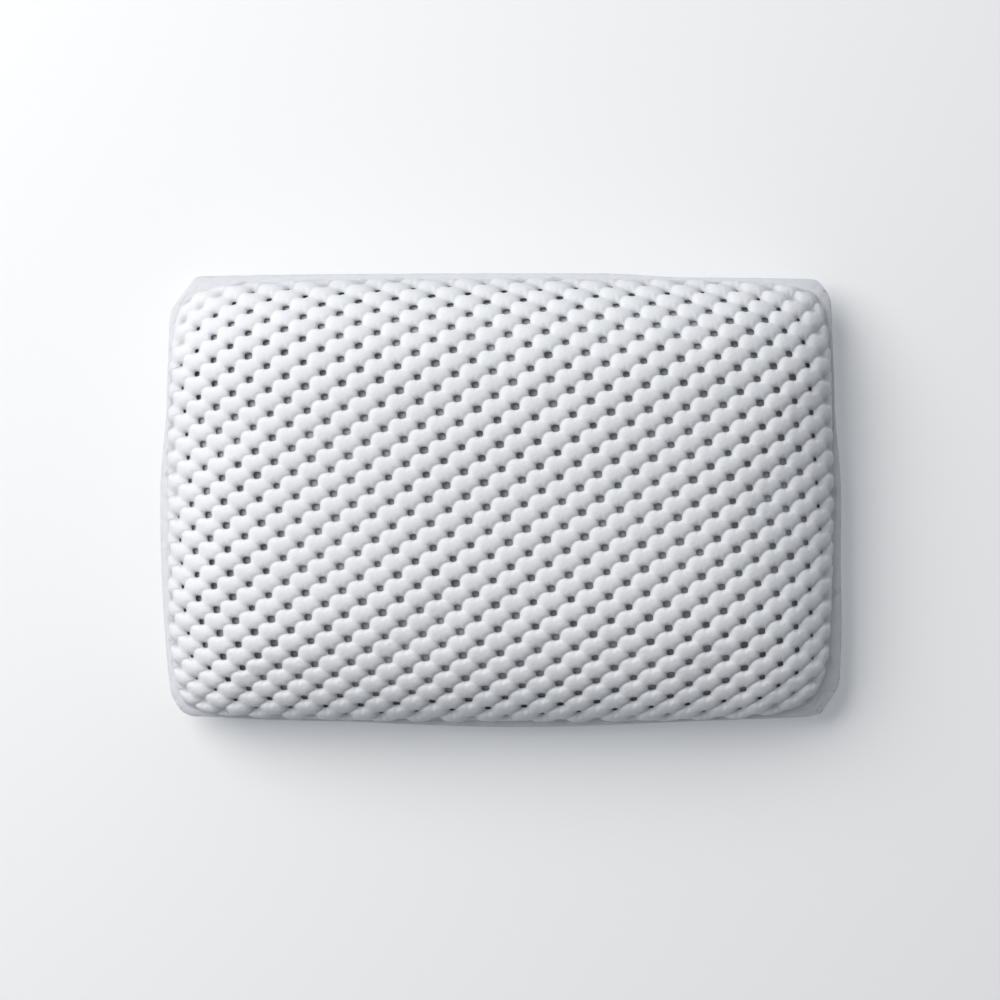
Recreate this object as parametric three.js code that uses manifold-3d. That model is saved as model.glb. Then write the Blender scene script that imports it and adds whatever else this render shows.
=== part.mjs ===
// A rectangular bath pillow with a puffed foam mesh face, lying face up on its four suction cups.
// Millimetres. +X runs along the long side, +Y towards the top edge, +Z out of the padded face.
// The origin is at the middle of the pillow, on the plane that the suction cups' rims stand on.
import * as THREE from 'three';
import { mergeGeometries, mergeVertices } from 'three/addons/utils/BufferGeometryUtils.js';
import Module from 'manifold-3d';

const wasm = await Module();
wasm.setup();

// Overall sizes
const overallLength = 330;
const overallWidth = 220;
const frontRise = 40;
const backDrop = 10;

// Foam mesh cover, and the flange where it is welded to the back panel
const coverWall = 2.4;
const weldWidth = 2.4;
const weldThickness = 1;
const weldCornerRadius = 16;

// Foam mesh: puffs in crossed rows, each between four holes, from its web up to its top.
// The turns are in radians, and the shift is that of a hole near the middle.
const puffRowPitch = 17.74;
const puffColumnPitch = 11.48;
const puffRowTurn = 0.073;
const puffColumnTurn = 0.093;
const puffShiftX = 2.15;
const puffShiftY = 3.55;
const puffSink = 1.4;
const puffFoot = 0.9;
const puffHeight = 2.8;
const puffReachShare = 0.95;

// How the mesh lies over the cushion: drawn down its ends and sides, and gathered at the corners
const endDrawShare = 0.725;
const sideDrawShare = 0.55;
const endGatherShares = [0.0065, 0.0396];
const sideGatherShares = [0.0261, 0.0326];
const endGatherPower = 6.9;
const sideGatherPower = 31.3;

// Back panel, liner and foam
const panelThickness = 0.8;
const linerThickness = 0.6;
const clearance = 0.3;
const softClearance = 0.5;

// Cushion form: the powers say how square each section is, the shares how soft the corners are
const endPower = 3;
const sidePower = 4;
const cornerShare = 0.02;
const bodyCornerRadius = 22;
const backFlatShare = 0.35;
const endBowShare = 0.014;
const sideBowShare = 0.012;

// Suction cups, and how far their middles lie in from the ends and sides
const cupFromEnd = 53;
const cupFromSide = 48;
const cupRadius = 20;
const sealWidth = 2.5;
const rimThickness = 1.2;
const hollowDepth = 3.6;
const shoulderHeight = 8;
const shoulderRadius = 6;
const neckRadius = 2.8;
const headRadius = 5;
const headEdge = 0.8;
const headHeight = 3.4;
const bellRadiusShare = 0.46;
const bellHeightShare = 0.42;

// Release tab on each cup's rim
const tabLength = 8;
const tabWidth = 9;
const tabThickness = 1.1;
const tabLift = 0.3;
const tabRoot = 2.6;

// Eyelets: the outer half has the barrel, the inner half is the washer that it is rolled over
const neckClearance = 0.4;
const eyeletWall = 0.8;
const eyeletFlangeRadius = 8;
const eyeletFlangeThickness = 1;
const eyeletCrownRadius = 6.2;
const washerRadius = 7.2;
const washerThickness = 0.8;
const rolledLip = 1;
const rolledLipThickness = 0.6;

// Fineness
const cornerSteps = 6;
const longSteps = 8;
const shortSteps = 6;
const crownRings = 7;
const cupSides = 24;
const eyeletSides = 16;
const curveSteps = 4;
const searchSteps = 40;
const sectionSteps = 400;
const plainRings = 2;
const slopeStep = 1.2;
const cutOverrun = 2;

// Heights, from the plane that the cups' rims stand on
const eyeletBottom = shoulderHeight + clearance;
const panelBottom = eyeletBottom + eyeletFlangeThickness + clearance;
const panelTop = panelBottom + panelThickness;
const washerBottom = panelTop + clearance;
const lipBottom = washerBottom + washerThickness + clearance;
const lipTop = lipBottom + rolledLipThickness;
const headBottom = lipTop + clearance;
const headTop = headBottom + headHeight;
const seamPlane = panelBottom + backDrop;

// Plan sizes of the stuffed body, inside the weld
const bodyHalfLength = overallLength / 2 - weldWidth;
const bodyHalfWidth = overallWidth / 2 - weldWidth;
const eyeletBore = neckRadius + neckClearance;
const barrelRadius = eyeletBore + eyeletWall;

// Layers of the cushion, from the cover's skin inwards: how far each lies inside the body's
// outline, how high it rises over the seam and how deep it drops below it.
const coverSkin = { inset: 0, rise: frontRise, drop: 0 };
const coverWeb = { inset: puffSink, rise: frontRise - puffSink, drop: 0 };
const coverLining = { inset: coverWall, rise: frontRise - coverWall, drop: 0 };
const panelSkin = { inset: 0, rise: 0, drop: backDrop };
const panelLining = { inset: panelThickness, rise: 0, drop: backDrop - panelThickness };
const linerSkin = inner(coverLining, panelLining, softClearance);
const linerLining = inner(linerSkin, linerSkin, linerThickness);
const foamSkin = inner(linerLining, linerLining, softClearance);

function inner(above, below, step) {
  return { inset: above.inset + step, rise: above.rise - step, drop: below.drop - step };
}

// How full the cushion is over a point of its plan: 1 in the middle and 0 on its outline.
// The ends and sides bow out a little between the corners.
function fullness(x, y, inset) {
  const halfLength = bodyHalfLength - inset;
  const halfWidth = bodyHalfWidth - inset;
  const endBow = 1 - endBowShare * (y / halfWidth) ** 2;
  const sideBow = 1 - sideBowShare * (x / halfLength) ** 2;
  const alongLength = Math.abs(x) / (halfLength * endBow);
  const alongWidth = Math.abs(y) / (halfWidth * sideBow);
  if (alongLength >= 1 || alongWidth >= 1) return 0;
  const product = (1 - alongLength ** endPower) * (1 - alongWidth ** sidePower);
  return Math.max(0, (product - cornerShare) / (1 - cornerShare));
}

// The front is a crown that rounds over at the edges, and the back is flat with rounded edges.
function frontHeight(x, y, layer) {
  return layer.rise * Math.sqrt(fullness(x, y, layer.inset));
}

function backDepth(x, y, layer) {
  const filled = Math.min(1, fullness(x, y, layer.inset) / backFlatShare);
  return layer.drop * Math.sqrt(1 - (1 - filled) ** 2);
}

// Points round a rectangle with round corners. Every layer's rings run out in their directions.
function directions() {
  const x = bodyHalfLength - bodyCornerRadius;
  const y = bodyHalfWidth - bodyCornerRadius;
  const corners = [[x, y], [-x, y], [-x, -y], [x, -y]].map(([cx, cy], quarter) => {
    const from = (quarter * Math.PI) / 2;
    const to = from + Math.PI / 2;
    const arc = new THREE.EllipseCurve(cx, cy, bodyCornerRadius, bodyCornerRadius, from, to);
    return arc.getPoints(cornerSteps);
  });
  return corners.flatMap((arc, quarter) => {
    const start = arc[arc.length - 1];
    const end = corners[(quarter + 1) % corners.length][0];
    const steps = quarter % 2 === 0 ? longSteps : shortSteps;
    const side = [];
    for (let k = 1; k < steps; k++) side.push(start.clone().lerp(end, k / steps));
    return [...arc, ...side];
  });
}

// The outline of a layer, found by halving along each direction
function outline(layer) {
  return directions().map((way) => {
    let low = 0;
    let high = 2;
    for (let k = 0; k < searchSteps; k++) {
      const middle = (low + high) / 2;
      const inside = fullness(way.x * middle, way.y * middle, layer.inset) > 0;
      if (inside) low = middle;
      else high = middle;
    }
    return way.clone().multiplyScalar(low);
  });
}

// The outline of the weld: a rounded rectangle whose sides bow out with the cushion
function weldOutline() {
  const halfLength = overallLength / 2;
  const halfWidth = overallWidth / 2;
  return directions().map((way) => {
    let low = 0;
    let high = 2;
    for (let k = 0; k < searchSteps; k++) {
      const middle = (low + high) / 2;
      const x = Math.abs(way.x * middle);
      const y = Math.abs(way.y * middle);
      const endBow = halfLength * (1 - endBowShare * (y / halfWidth) ** 2);
      const sideBow = halfWidth * (1 - sideBowShare * (x / halfLength) ** 2);
      const overX = Math.max(0, x - endBow + weldCornerRadius);
      const overY = Math.max(0, y - sideBow + weldCornerRadius);
      const inside = Math.hypot(overX, overY) < weldCornerRadius;
      if (inside) low = middle;
      else high = middle;
    }
    return way.clone().multiplyScalar(low);
  });
}

function ringAt(plan, z) {
  return plan.map((p) => new THREE.Vector3(p.x, p.y, z));
}

// Rings of a layer's surface from near the middle to its edge, closer together at the edge
function surfaceRings(layer, heightAt) {
  const edge = outline(layer);
  const rings = [];
  for (let j = 1; j <= crownRings; j++) {
    const reach = Math.sin((Math.PI * j) / (2 * crownRings));
    rings.push(edge.map((p) => {
      const x = p.x * reach;
      const y = p.y * reach;
      return new THREE.Vector3(x, y, heightAt(x, y, layer));
    }));
  }
  return rings;
}

function frontRings(layer, foot) {
  return surfaceRings(layer, (x, y) => foot + frontHeight(x, y, layer));
}

function backRings(layer, foot) {
  return surfaceRings(layer, (x, y) => foot - backDepth(x, y, layer));
}

function surface(points, index) {
  const geometry = new THREE.BufferGeometry().setFromPoints(points);
  geometry.setIndex(index);
  return geometry;
}

// A skin through rings of equal count, open at its start and pinched to a point at its end
function sleeve(rings, end) {
  const count = rings[0].length;
  const points = [...rings.flat(), end];
  const index = [];
  for (let i = 0; i < count; i++) {
    const next = (i + 1) % count;
    for (let j = 0; j + 1 < rings.length; j++) {
      const a = j * count + i;
      const b = j * count + next;
      index.push(a, a + count, b + count);
      index.push(a, b + count, b);
    }
    const last = (rings.length - 1) * count;
    index.push(last + i, points.length - 1, last + next);
  }
  return surface(points, index);
}

// The same, closed by a point at its start as well
function loft(start, rings, end) {
  const fan = rings[0].flatMap((_, i, ring) => [ring.length, i, (i + 1) % ring.length]);
  return welded(mergeGeometries([surface([...rings[0], start], fan), sleeve(rings, end)]));
}

// Joins shared corners and drops the flat triangles that a lathe leaves on its axis
function welded(source) {
  const bare = source.index ? source.clone() : source;
  bare.deleteAttribute('normal');
  bare.deleteAttribute('uv');
  const geometry = mergeVertices(bare);
  const old = geometry.index.array;
  const kept = [];
  for (let i = 0; i < old.length; i += 3) {
    const [a, b, c] = [old[i], old[i + 1], old[i + 2]];
    if (a !== b && b !== c && c !== a) kept.push(a, b, c);
  }
  geometry.setIndex(kept);
  return geometry;
}

function toSolid(source) {
  const geometry = welded(source);
  return new wasm.Manifold(new wasm.Mesh({
    numProp: 3,
    vertProperties: new Float32Array(geometry.attributes.position.array),
    triVerts: new Uint32Array(geometry.index.array),
  }));
}

function toGeometry(solid) {
  const mesh = solid.getMesh();
  const geometry = new THREE.BufferGeometry();
  geometry.setAttribute('position', new THREE.BufferAttribute(mesh.vertProperties, mesh.numProp));
  geometry.setIndex(new THREE.BufferAttribute(mesh.triVerts, 1));
  return geometry;
}

// A lathe turned about Z from [radius, height] pairs
function turned(pairs, sides) {
  const profile = pairs.map(([radius, height]) => new THREE.Vector2(radius, height));
  return welded(new THREE.LatheGeometry(profile, sides).rotateX(Math.PI / 2));
}

function post(radius, from, to, sides) {
  const cylinder = new THREE.CylinderGeometry(radius, radius, to - from, sides);
  return cylinder.rotateX(Math.PI / 2).translate(0, 0, (from + to) / 2);
}

function cupPlaces() {
  const x = overallLength / 2 - cupFromEnd;
  const y = overallWidth / 2 - cupFromSide;
  return [
    { name: 'top_left', x: -x, y },
    { name: 'top_right', x, y },
    { name: 'bottom_left', x: -x, y: -y },
    { name: 'bottom_right', x, y: -y },
  ];
}

// Lengths of mesh along a section of the cushion from its middle, and the shares of the plan
// that they reach
function section(half, rise, power, drawShare) {
  const reached = [{ length: 0, share: 0, height: 1 }];
  for (let k = 1; k <= sectionSteps; k++) {
    const share = Math.sin((Math.PI * k) / (2 * sectionSteps));
    const height = Math.sqrt(1 - share ** power);
    const before = reached[k - 1];
    const across = (share - before.share) * half;
    const down = (before.height - height) * rise * drawShare;
    reached.push({ length: before.length + Math.hypot(across, down), share, height });
  }
  return reached;
}

function shareAt(length, reached) {
  const k = reached.findIndex((step) => step.length > length);
  if (k < 0) return 1;
  const part = (length - reached[k - 1].length) / (reached[k].length - reached[k - 1].length);
  return reached[k - 1].share + part * (reached[k].share - reached[k - 1].share);
}

// Lays flat mesh over the cushion: p and q are flat, and the result is a point in plan
function meshLayer() {
  const halfLength = bodyHalfLength - coverWeb.inset;
  const halfWidth = bodyHalfWidth - coverWeb.inset;
  const long = section(halfLength, coverWeb.rise, endPower, endDrawShare);
  const short = section(halfWidth, coverWeb.rise, sidePower, sideDrawShare);
  return (p, q) => {
    const u = shareAt(Math.abs(p), long);
    const v = shareAt(Math.abs(q), short);
    const [endBulge, endCorner] = endGatherShares;
    const [sideBulge, sideCorner] = sideGatherShares;
    const gatheredU = u * (1 - endBulge * v ** 2 - endCorner * v ** endGatherPower);
    const gatheredV = v * (1 - sideBulge * u ** 2 - sideCorner * u ** sideGatherPower);
    const x = Math.sign(p) * halfLength * gatheredU;
    const y = Math.sign(q) * halfWidth * gatheredV;
    return new THREE.Vector2(x, y);
  };
}

// Puffs s and t count along the two diagonals of the mesh; its holes lie at the halves
function flatMesh(s, t) {
  const along = ((s + t - 1) / 2) * puffRowPitch;
  const across = ((s - t) / 2) * puffColumnPitch;
  const p = puffShiftX + along * Math.cos(puffRowTurn) - across * Math.sin(puffColumnTurn);
  const q = puffShiftY + along * Math.sin(puffRowTurn) + across * Math.cos(puffColumnTurn);
  return [p, q];
}

// The four holes round a puff, anticlockwise
function holesRound(s, t) {
  const half = 1 / 2;
  return [[s - half, t - half], [s - half, t + half], [s + half, t + half], [s + half, t - half]];
}

// The puffs that have at least three of their holes well inside the cushion's outline
function puffs(toPlan) {
  const inside = ([s, t]) => {
    const spot = toPlan(...flatMesh(s, t)).divideScalar(puffReachShare);
    return fullness(spot.x, spot.y, coverWeb.inset) > 0;
  };
  const most = Math.ceil(overallLength / puffRowPitch + overallWidth / puffColumnPitch);
  const found = [];
  for (let s = -most; s <= most; s++) {
    for (let t = -most; t <= most; t++) {
      const holes = holesRound(s, t).filter(inside);
      if (holes.length > 2) found.push({ middle: [s, t], holes });
    }
  }
  return found;
}

// The face of puffs. Where one has only three holes, their triangle stays flat.
function puffedFace(ring, foot) {
  const toPlan = meshLayer();
  const lie = (p, q) => {
    const spot = toPlan(p, q);
    return new THREE.Vector3(spot.x, spot.y, foot + frontHeight(spot.x, spot.y, coverWeb));
  };
  const points = [];
  const index = [];
  const known = new Map();
  const pointAt = (spot, height) => {
    const key = spot.join(' ');
    if (!known.has(key)) {
      const [p, q] = flatMesh(...spot);
      const along = lie(p + slopeStep, q).sub(lie(p - slopeStep, q));
      const across = lie(p, q + slopeStep).sub(lie(p, q - slopeStep));
      const out = along.cross(across).normalize();
      known.set(key, points.push(lie(p, q).addScaledVector(out, height)) - 1);
    }
    return known.get(key);
  };
  const after = new Map();
  for (const { middle, holes } of puffs(toPlan)) {
    const round = holes.map((hole) => pointAt(hole, puffFoot));
    const edges = round.map((a, side) => [a, round[(side + 1) % round.length]]);
    if (round.length === 4) {
      const top = pointAt(middle, puffHeight);
      edges.forEach(([a, b]) => index.push(top, a, b));
    } else {
      index.push(...round);
    }
    for (const [a, b] of edges) {
      if (after.get(b)?.delete(a)) continue;
      if (!after.has(a)) after.set(a, new Set());
      after.get(a).add(b);
    }
  }
  const loop = borderLoop(after);
  const round = ring.map((p) => points.push(p) - 1);
  index.push(...bridge(points, loop, round));
  return surface(points, index);
}

// The closed loop of edges that only one puff has, from a map of the edges that start at a point
function borderLoop(after) {
  const start = [...after.keys()].find((k) => after.get(k).size > 0);
  const loop = [start];
  for (let k = [...after.get(start)][0]; k !== start; k = [...after.get(k)][0]) loop.push(k);
  return loop;
}

// Triangles between a loop and the ring round it, each across the shorter of two gaps
function bridge(points, loop, ring) {
  const gap = (i, j) => points[ring[i % ring.length]].distanceTo(points[loop[j % loop.length]]);
  const gaps = loop.map((_, j) => gap(0, j));
  const first = gaps.indexOf(Math.min(...gaps));
  const index = [];
  let i = 0;
  let j = first;
  while (i < ring.length || j < first + loop.length) {
    const onLoop = j < first + loop.length && (i === ring.length || gap(i, j + 1) < gap(i + 1, j));
    const from = loop[j % loop.length];
    const to = ring[i % ring.length];
    if (onLoop) index.push(loop[++j % loop.length], from, to);
    else index.push(from, to, ring[++i % ring.length]);
  }
  return index;
}

// The foam mesh face with its flattened, welded edge
function frontCover() {
  const weldTop = seamPlane + weldThickness;
  const plain = frontRings(coverSkin, weldTop).slice(-plainRings);
  const lining = frontRings(coverLining, seamPlane);
  const edge = weldOutline();
  const rings = [...plain, ringAt(edge, weldTop), ringAt(edge, seamPlane), ...lining.reverse()];
  const underside = new THREE.Vector3(0, 0, seamPlane + coverLining.rise);
  return welded(mergeGeometries([puffedFace(plain[0], weldTop), sleeve(rings, underside)]));
}

// The smooth sheet behind, a shallow tray with a hole for each eyelet's barrel
function backPanel() {
  const brim = seamPlane - clearance;
  const lining = backRings(panelLining, brim);
  const skin = backRings(panelSkin, brim);
  const flatSkin = skin.map((ring) => ring.map((p) => p.setZ(Math.max(panelBottom, p.z))));
  const edge = weldOutline();
  const hem = flatSkin[flatSkin.length - 1].map((p) => p.clone().setZ(brim - panelThickness));
  const below = flatSkin.slice(0, -1).map((ring) => ring.map((p) => {
    return p.clone().setZ(Math.min(p.z, brim - panelThickness));
  }));
  const rings = [
    ...lining,
    ringAt(edge, brim),
    ringAt(edge, brim - panelThickness),
    hem,
    ...below.reverse(),
  ];
  const inside = new THREE.Vector3(0, 0, brim - panelLining.drop);
  const outside = new THREE.Vector3(0, 0, panelBottom);
  let solid = toSolid(loft(inside, rings, outside));
  for (const place of cupPlaces()) {
    const from = panelBottom - cutOverrun;
    const to = panelTop + cutOverrun;
    const hole = post(barrelRadius + clearance, from, to, eyeletSides);
    solid = solid.subtract(toSolid(hole.translate(place.x, place.y, 0)));
  }
  return toGeometry(solid);
}

// The front half of the fabric bag round the foam
function linerFront() {
  const skin = frontRings(linerSkin, seamPlane);
  const lining = frontRings(linerLining, seamPlane);
  const top = new THREE.Vector3(0, 0, seamPlane + linerSkin.rise);
  const underside = new THREE.Vector3(0, 0, seamPlane + linerLining.rise);
  return loft(top, [...skin, ...lining.reverse()], underside);
}

// The back half, pushed in by the cup heads and their washers
function linerBack() {
  const brim = seamPlane - clearance;
  const skin = backRings(linerSkin, brim);
  const lining = backRings(linerLining, brim);
  const inside = new THREE.Vector3(0, 0, brim - linerLining.drop);
  const outside = new THREE.Vector3(0, 0, brim - linerSkin.drop);
  let solid = toSolid(loft(inside, [...lining, ...skin.reverse()], outside));
  const dent = washerRadius + clearance;
  const dentTop = headTop + clearance;
  const floor = brim - linerSkin.drop;
  for (const place of cupPlaces()) {
    const cap = post(dent + linerThickness, floor, dentTop + linerThickness, eyeletSides);
    const hollow = post(dent, floor - cutOverrun, dentTop, eyeletSides);
    solid = solid.add(toSolid(cap.translate(place.x, place.y, 0)));
    solid = solid.subtract(toSolid(hollow.translate(place.x, place.y, 0)));
  }
  return toGeometry(solid);
}

// The foam block that fills the bag, with a dent over each cup head
function foamCore() {
  const middle = seamPlane - clearance / 2;
  const front = frontRings(foamSkin, middle);
  const back = backRings(foamSkin, middle).slice(0, -1);
  const top = new THREE.Vector3(0, 0, middle + foamSkin.rise);
  const bottom = new THREE.Vector3(0, 0, middle - foamSkin.drop);
  let solid = toSolid(loft(top, [...front, ...back.reverse()], bottom));
  const dent = washerRadius + clearance + linerThickness + softClearance;
  const dentTop = headTop + clearance + linerThickness + softClearance;
  for (const place of cupPlaces()) {
    const hollow = post(dent, panelBottom, dentTop, eyeletSides);
    solid = solid.subtract(toSolid(hollow.translate(place.x, place.y, 0)));
  }
  return toGeometry(solid);
}

// Points of a quadratic curve between two [radius, height] pairs, without its first point
function bend(from, control, to) {
  const curve = new THREE.QuadraticBezierCurve(
    new THREE.Vector2(...from),
    new THREE.Vector2(...control),
    new THREE.Vector2(...to),
  );
  return curve.getPoints(curveSteps).slice(1).map((p) => [p.x, p.y]);
}

// A suction cup: bell, neck and mushroom head in one, with a tab on its rim
function suctionCup(tabAngle) {
  const sealRadius = cupRadius - sealWidth;
  const rimTop = [cupRadius, rimThickness];
  const bell = [cupRadius * bellRadiusShare, shoulderHeight * bellHeightShare];
  const profile = [
    [0, hollowDepth],
    ...bend([0, hollowDepth], [sealRadius / 2, hollowDepth], [sealRadius, 0]),
    [cupRadius, 0],
    rimTop,
    ...bend(rimTop, bell, [shoulderRadius, shoulderHeight]),
    [neckRadius, shoulderHeight],
    [neckRadius, headBottom],
    [headRadius, headBottom],
    [headRadius, headBottom + headEdge],
    ...bend([headRadius, headBottom + headEdge], [headRadius, headTop], [0, headTop]),
  ];
  const body = toSolid(turned(profile, cupSides));
  const halfWidth = tabWidth / 2;
  const tongue = new THREE.Shape();
  tongue.moveTo(cupRadius - tabRoot, -halfWidth);
  tongue.lineTo(cupRadius + tabLength - halfWidth, -halfWidth);
  tongue.absarc(cupRadius + tabLength - halfWidth, 0, halfWidth, -Math.PI / 2, Math.PI / 2);
  tongue.lineTo(cupRadius - tabRoot, halfWidth);
  const tab = new THREE.ExtrudeGeometry(tongue, {
    depth: tabThickness,
    bevelEnabled: false,
    curveSegments: curveSteps,
  });
  const placed = tab.translate(0, 0, tabLift).rotateZ(tabAngle);
  return toGeometry(body.add(toSolid(placed)));
}

// The outer half of an eyelet: flange below the panel, barrel through it, rolled lip inside
function eyelet() {
  const flangeTop = eyeletBottom + eyeletFlangeThickness;
  const crownStep = eyeletFlangeThickness / 2;
  return turned([
    [eyeletBore, eyeletBottom],
    [eyeletCrownRadius, eyeletBottom],
    [eyeletFlangeRadius, eyeletBottom + crownStep],
    [eyeletFlangeRadius, flangeTop],
    [barrelRadius, flangeTop],
    [barrelRadius, lipBottom],
    [barrelRadius + rolledLip, lipBottom],
    [barrelRadius + rolledLip, lipTop],
    [eyeletBore, lipTop],
    [eyeletBore, eyeletBottom],
  ], eyeletSides);
}

// The inner half of an eyelet: a flat washer round the barrel
function washer() {
  const bore = barrelRadius + clearance;
  const top = washerBottom + washerThickness;
  return turned([
    [bore, washerBottom],
    [washerRadius, washerBottom],
    [washerRadius, top],
    [bore, top],
    [bore, washerBottom],
  ], eyeletSides);
}

function finish(color, roughness, metalness = 0) {
  return new THREE.MeshStandardMaterial({ color, roughness, metalness });
}

const finishes = {
  foamMesh: finish(0xeceeef, 0.7),
  backSheet: finish(0xe2e5e6, 0.6),
  liner: finish(0x9aa0a6, 0.9),
  foam: finish(0xd9dad6, 0.95),
  cup: finish(0xcfdbe0, 0.15),
  eyelet: finish(0xf1f2f2, 0.35),
};

const pillow = new THREE.Group();

function piece(name, geometry, material, x = 0, y = 0) {
  geometry.computeVertexNormals();
  const mesh = new THREE.Mesh(geometry, material);
  mesh.name = name;
  mesh.position.set(x, y, 0);
  pillow.add(mesh);
}

piece('front_cover', frontCover(), finishes.foamMesh);
piece('back_panel', backPanel(), finishes.backSheet);
piece('liner_front', linerFront(), finishes.liner);
piece('liner_back', linerBack(), finishes.liner);
piece('foam_core', foamCore(), finishes.foam);
for (const place of cupPlaces()) {
  const tabAngle = place.y > 0 ? Math.PI / 2 : -Math.PI / 2;
  piece(`suction_cup_${place.name}`, suctionCup(tabAngle), finishes.cup, place.x, place.y);
  piece(`eyelet_${place.name}`, eyelet(), finishes.eyelet, place.x, place.y);
  piece(`eyelet_washer_${place.name}`, washer(), finishes.eyelet, place.x, place.y);
}

export default pillow;
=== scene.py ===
"""Dresses a bath pillow: foam mesh cover, welded back sheet, liner, foam, suction cups and eyelets."""

import math
from contextlib import contextmanager
from types import SimpleNamespace

import bmesh
import bpy
import numpy as np
from mathutils import Matrix, Vector


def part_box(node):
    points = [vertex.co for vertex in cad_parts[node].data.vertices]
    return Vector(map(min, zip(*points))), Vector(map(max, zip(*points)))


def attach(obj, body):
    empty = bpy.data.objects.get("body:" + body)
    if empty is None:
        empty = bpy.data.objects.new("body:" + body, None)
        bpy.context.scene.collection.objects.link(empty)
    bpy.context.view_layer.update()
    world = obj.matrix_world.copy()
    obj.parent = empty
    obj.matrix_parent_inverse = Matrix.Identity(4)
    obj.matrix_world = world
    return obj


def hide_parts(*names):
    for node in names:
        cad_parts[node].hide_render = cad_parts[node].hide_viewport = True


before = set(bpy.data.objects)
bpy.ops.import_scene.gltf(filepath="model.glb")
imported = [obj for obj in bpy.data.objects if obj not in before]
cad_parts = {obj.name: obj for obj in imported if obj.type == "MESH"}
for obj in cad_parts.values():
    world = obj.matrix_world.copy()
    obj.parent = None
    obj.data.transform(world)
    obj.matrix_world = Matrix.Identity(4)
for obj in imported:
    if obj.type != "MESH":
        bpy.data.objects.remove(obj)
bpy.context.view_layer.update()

bl_info = {
    "name": "Bath Pillow",
    "version": (1, 0, 0),
    "blender": (4, 5, 0),
    "location": "View3D > Sidebar > Bath Pillow",
    "description": "Makes a foam mesh bath pillow with suction cups around its packed frame",
    "category": "Add Mesh",
}

MM = 0.001
TINY = 1e-9  # keeps a division away from zero
PLACES = ("top_left", "top_right", "bottom_left", "bottom_right")

# Sizes of the frame, read from it or the same as in its source
COVER_LOW, COVER_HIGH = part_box("front_cover")
PANEL_LOW, PANEL_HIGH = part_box("back_panel")
HALF_LENGTH = (COVER_HIGH[0] - COVER_LOW[0]) / 2
HALF_WIDTH = (COVER_HIGH[1] - COVER_LOW[1]) / 2
SEAM = COVER_LOW[2]
WELD_WIDTH = 2.4 * MM
WELD_THICKNESS = 1.0 * MM
COVER_WALL = 2.4 * MM
SOFT_CLEARANCE = 0.5 * MM
FRONT_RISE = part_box("liner_front")[1][2] - SEAM + COVER_WALL + SOFT_CLEARANCE
PANEL_THICKNESS = 0.8 * MM
PANEL_BRIM = PANEL_HIGH[2]
BACK_DROP = PANEL_BRIM - PANEL_LOW[2]

# The cushion's form, as in the frame
END_POWER = 3
SIDE_POWER = 4
CORNER_SHARE = 0.02
CORNER_FALLS = ((0.02, 0.04), (0.08, 0.02))
CORNER_POWER = 6
BACK_FLAT_SHARE = 0.35
END_BOW = 0.014
SIDE_BOW = 0.012

# The weld's edge as photographed: tighter corners than the frame's, and how far it is trimmed inside them
WELD_CORNER = 9 * MM
UPPER_END_TRIM = 3.2 * MM
LOWER_RIGHT_GROWTH = 1.2 * MM
LOWER_LEFT_TRIM = 4.2 * MM
TOP_TRIM = 0.3 * MM
TOP_RIGHT_TRIM = 1.7 * MM
BOTTOM_TRIM = 3.9 * MM
BOTTOM_UNTRIMMED = (0.05, 0.51)  # middle and spread, as shares of the half length
# Where the trims set in and are full, as shares of the half length or width
UPPER_REACH, LOWER_REACH, RIGHT_REACH = (0, 0.5), (0.2, 0.6), (0.3, 0.55)
CORNER_CHANGE = 0.03
LEAST_SLANT = 0.3
LEAST_TOWARD = 0.1
LEAST_RIM = 0.7 * MM  # what is left outside the cushion
# Cuts across its corners: (direction in degrees, distance from the middle)
CORNER_CUTS = ((-33.8, 186.9 * MM), (-147.0, 185.8 * MM), (144.2, 183.3 * MM), (34.0, 187.3 * MM))
CUT_ROUND = 0.8 * MM
RIM_LEAN = 0.6
RIM_EASE = 1 * MM

# How the mesh face lies: drawn down the ends and sides, and gathered a little at the corners
END_DRAW = 0.725
SIDE_DRAW = 0.55
GATHER_ENDS = (0.0065, 0.0396, 6.9)
GATHER_SIDES = (0.0261, 0.0326, 31.3)
CLOTH_CORNER = 16 * MM
CLOTH_HEM = 6.5 * MM
CLOTH_CORNER_CUTS = 6
SECTION_STEPS = 1500
BORDER_STEPS = 3000
OUTLINE_STEPS = 1440
SEARCH_REACH = 0.3
SEARCH_HALVINGS = 40
FOLD_EASE = 0.9 * MM
FACING_STEP = 1.2 * MM

# Slow swells of the filling: (waves along, waves across, start, size), and the sizes added up
SWELLS = ((31, 12, 0.7, 1), (17, -43, 2.1, 1), (58, 27, 4.0, 0.6), (-22, 71, 1.3, 0.5))
SWELL_SCALE = 3.1
# Steps for the first and second number and the seed, and the stretch, that scatter a sine into chance
SCATTER = (12.9898, 78.233, 37.719, 43758.5453)


def smoothstep(low, high, x):
    """0 below low, 1 above high and an even S between them."""
    t = np.clip((x - low) / (high - low), 0, 1)
    return t * t * (3 - 2 * t)


def reach_where(inside):
    """How far from the middle an outline lies in each direction, for a test of what is inside it."""
    turns = np.linspace(-math.pi, math.pi, OUTLINE_STEPS, endpoint=False)
    low, high = np.zeros(OUTLINE_STEPS), np.full(OUTLINE_STEPS, SEARCH_REACH)
    for _ in range(SEARCH_HALVINGS):
        middle = (low + high) / 2
        within = inside(middle * np.cos(turns), middle * np.sin(turns))
        low, high = np.where(within, middle, low), np.where(within, high, middle)
    return lambda turn: np.interp(turn, turns, low, period=2 * math.pi)


def bowed(half_length, half_width, x, y):
    """Half the length at y and half the width at x of an outline whose ends and sides bow out."""
    end = half_length * (1 - END_BOW * (y / half_width) ** 2)
    return end, half_width * (1 - SIDE_BOW * (x / half_length) ** 2)


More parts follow.
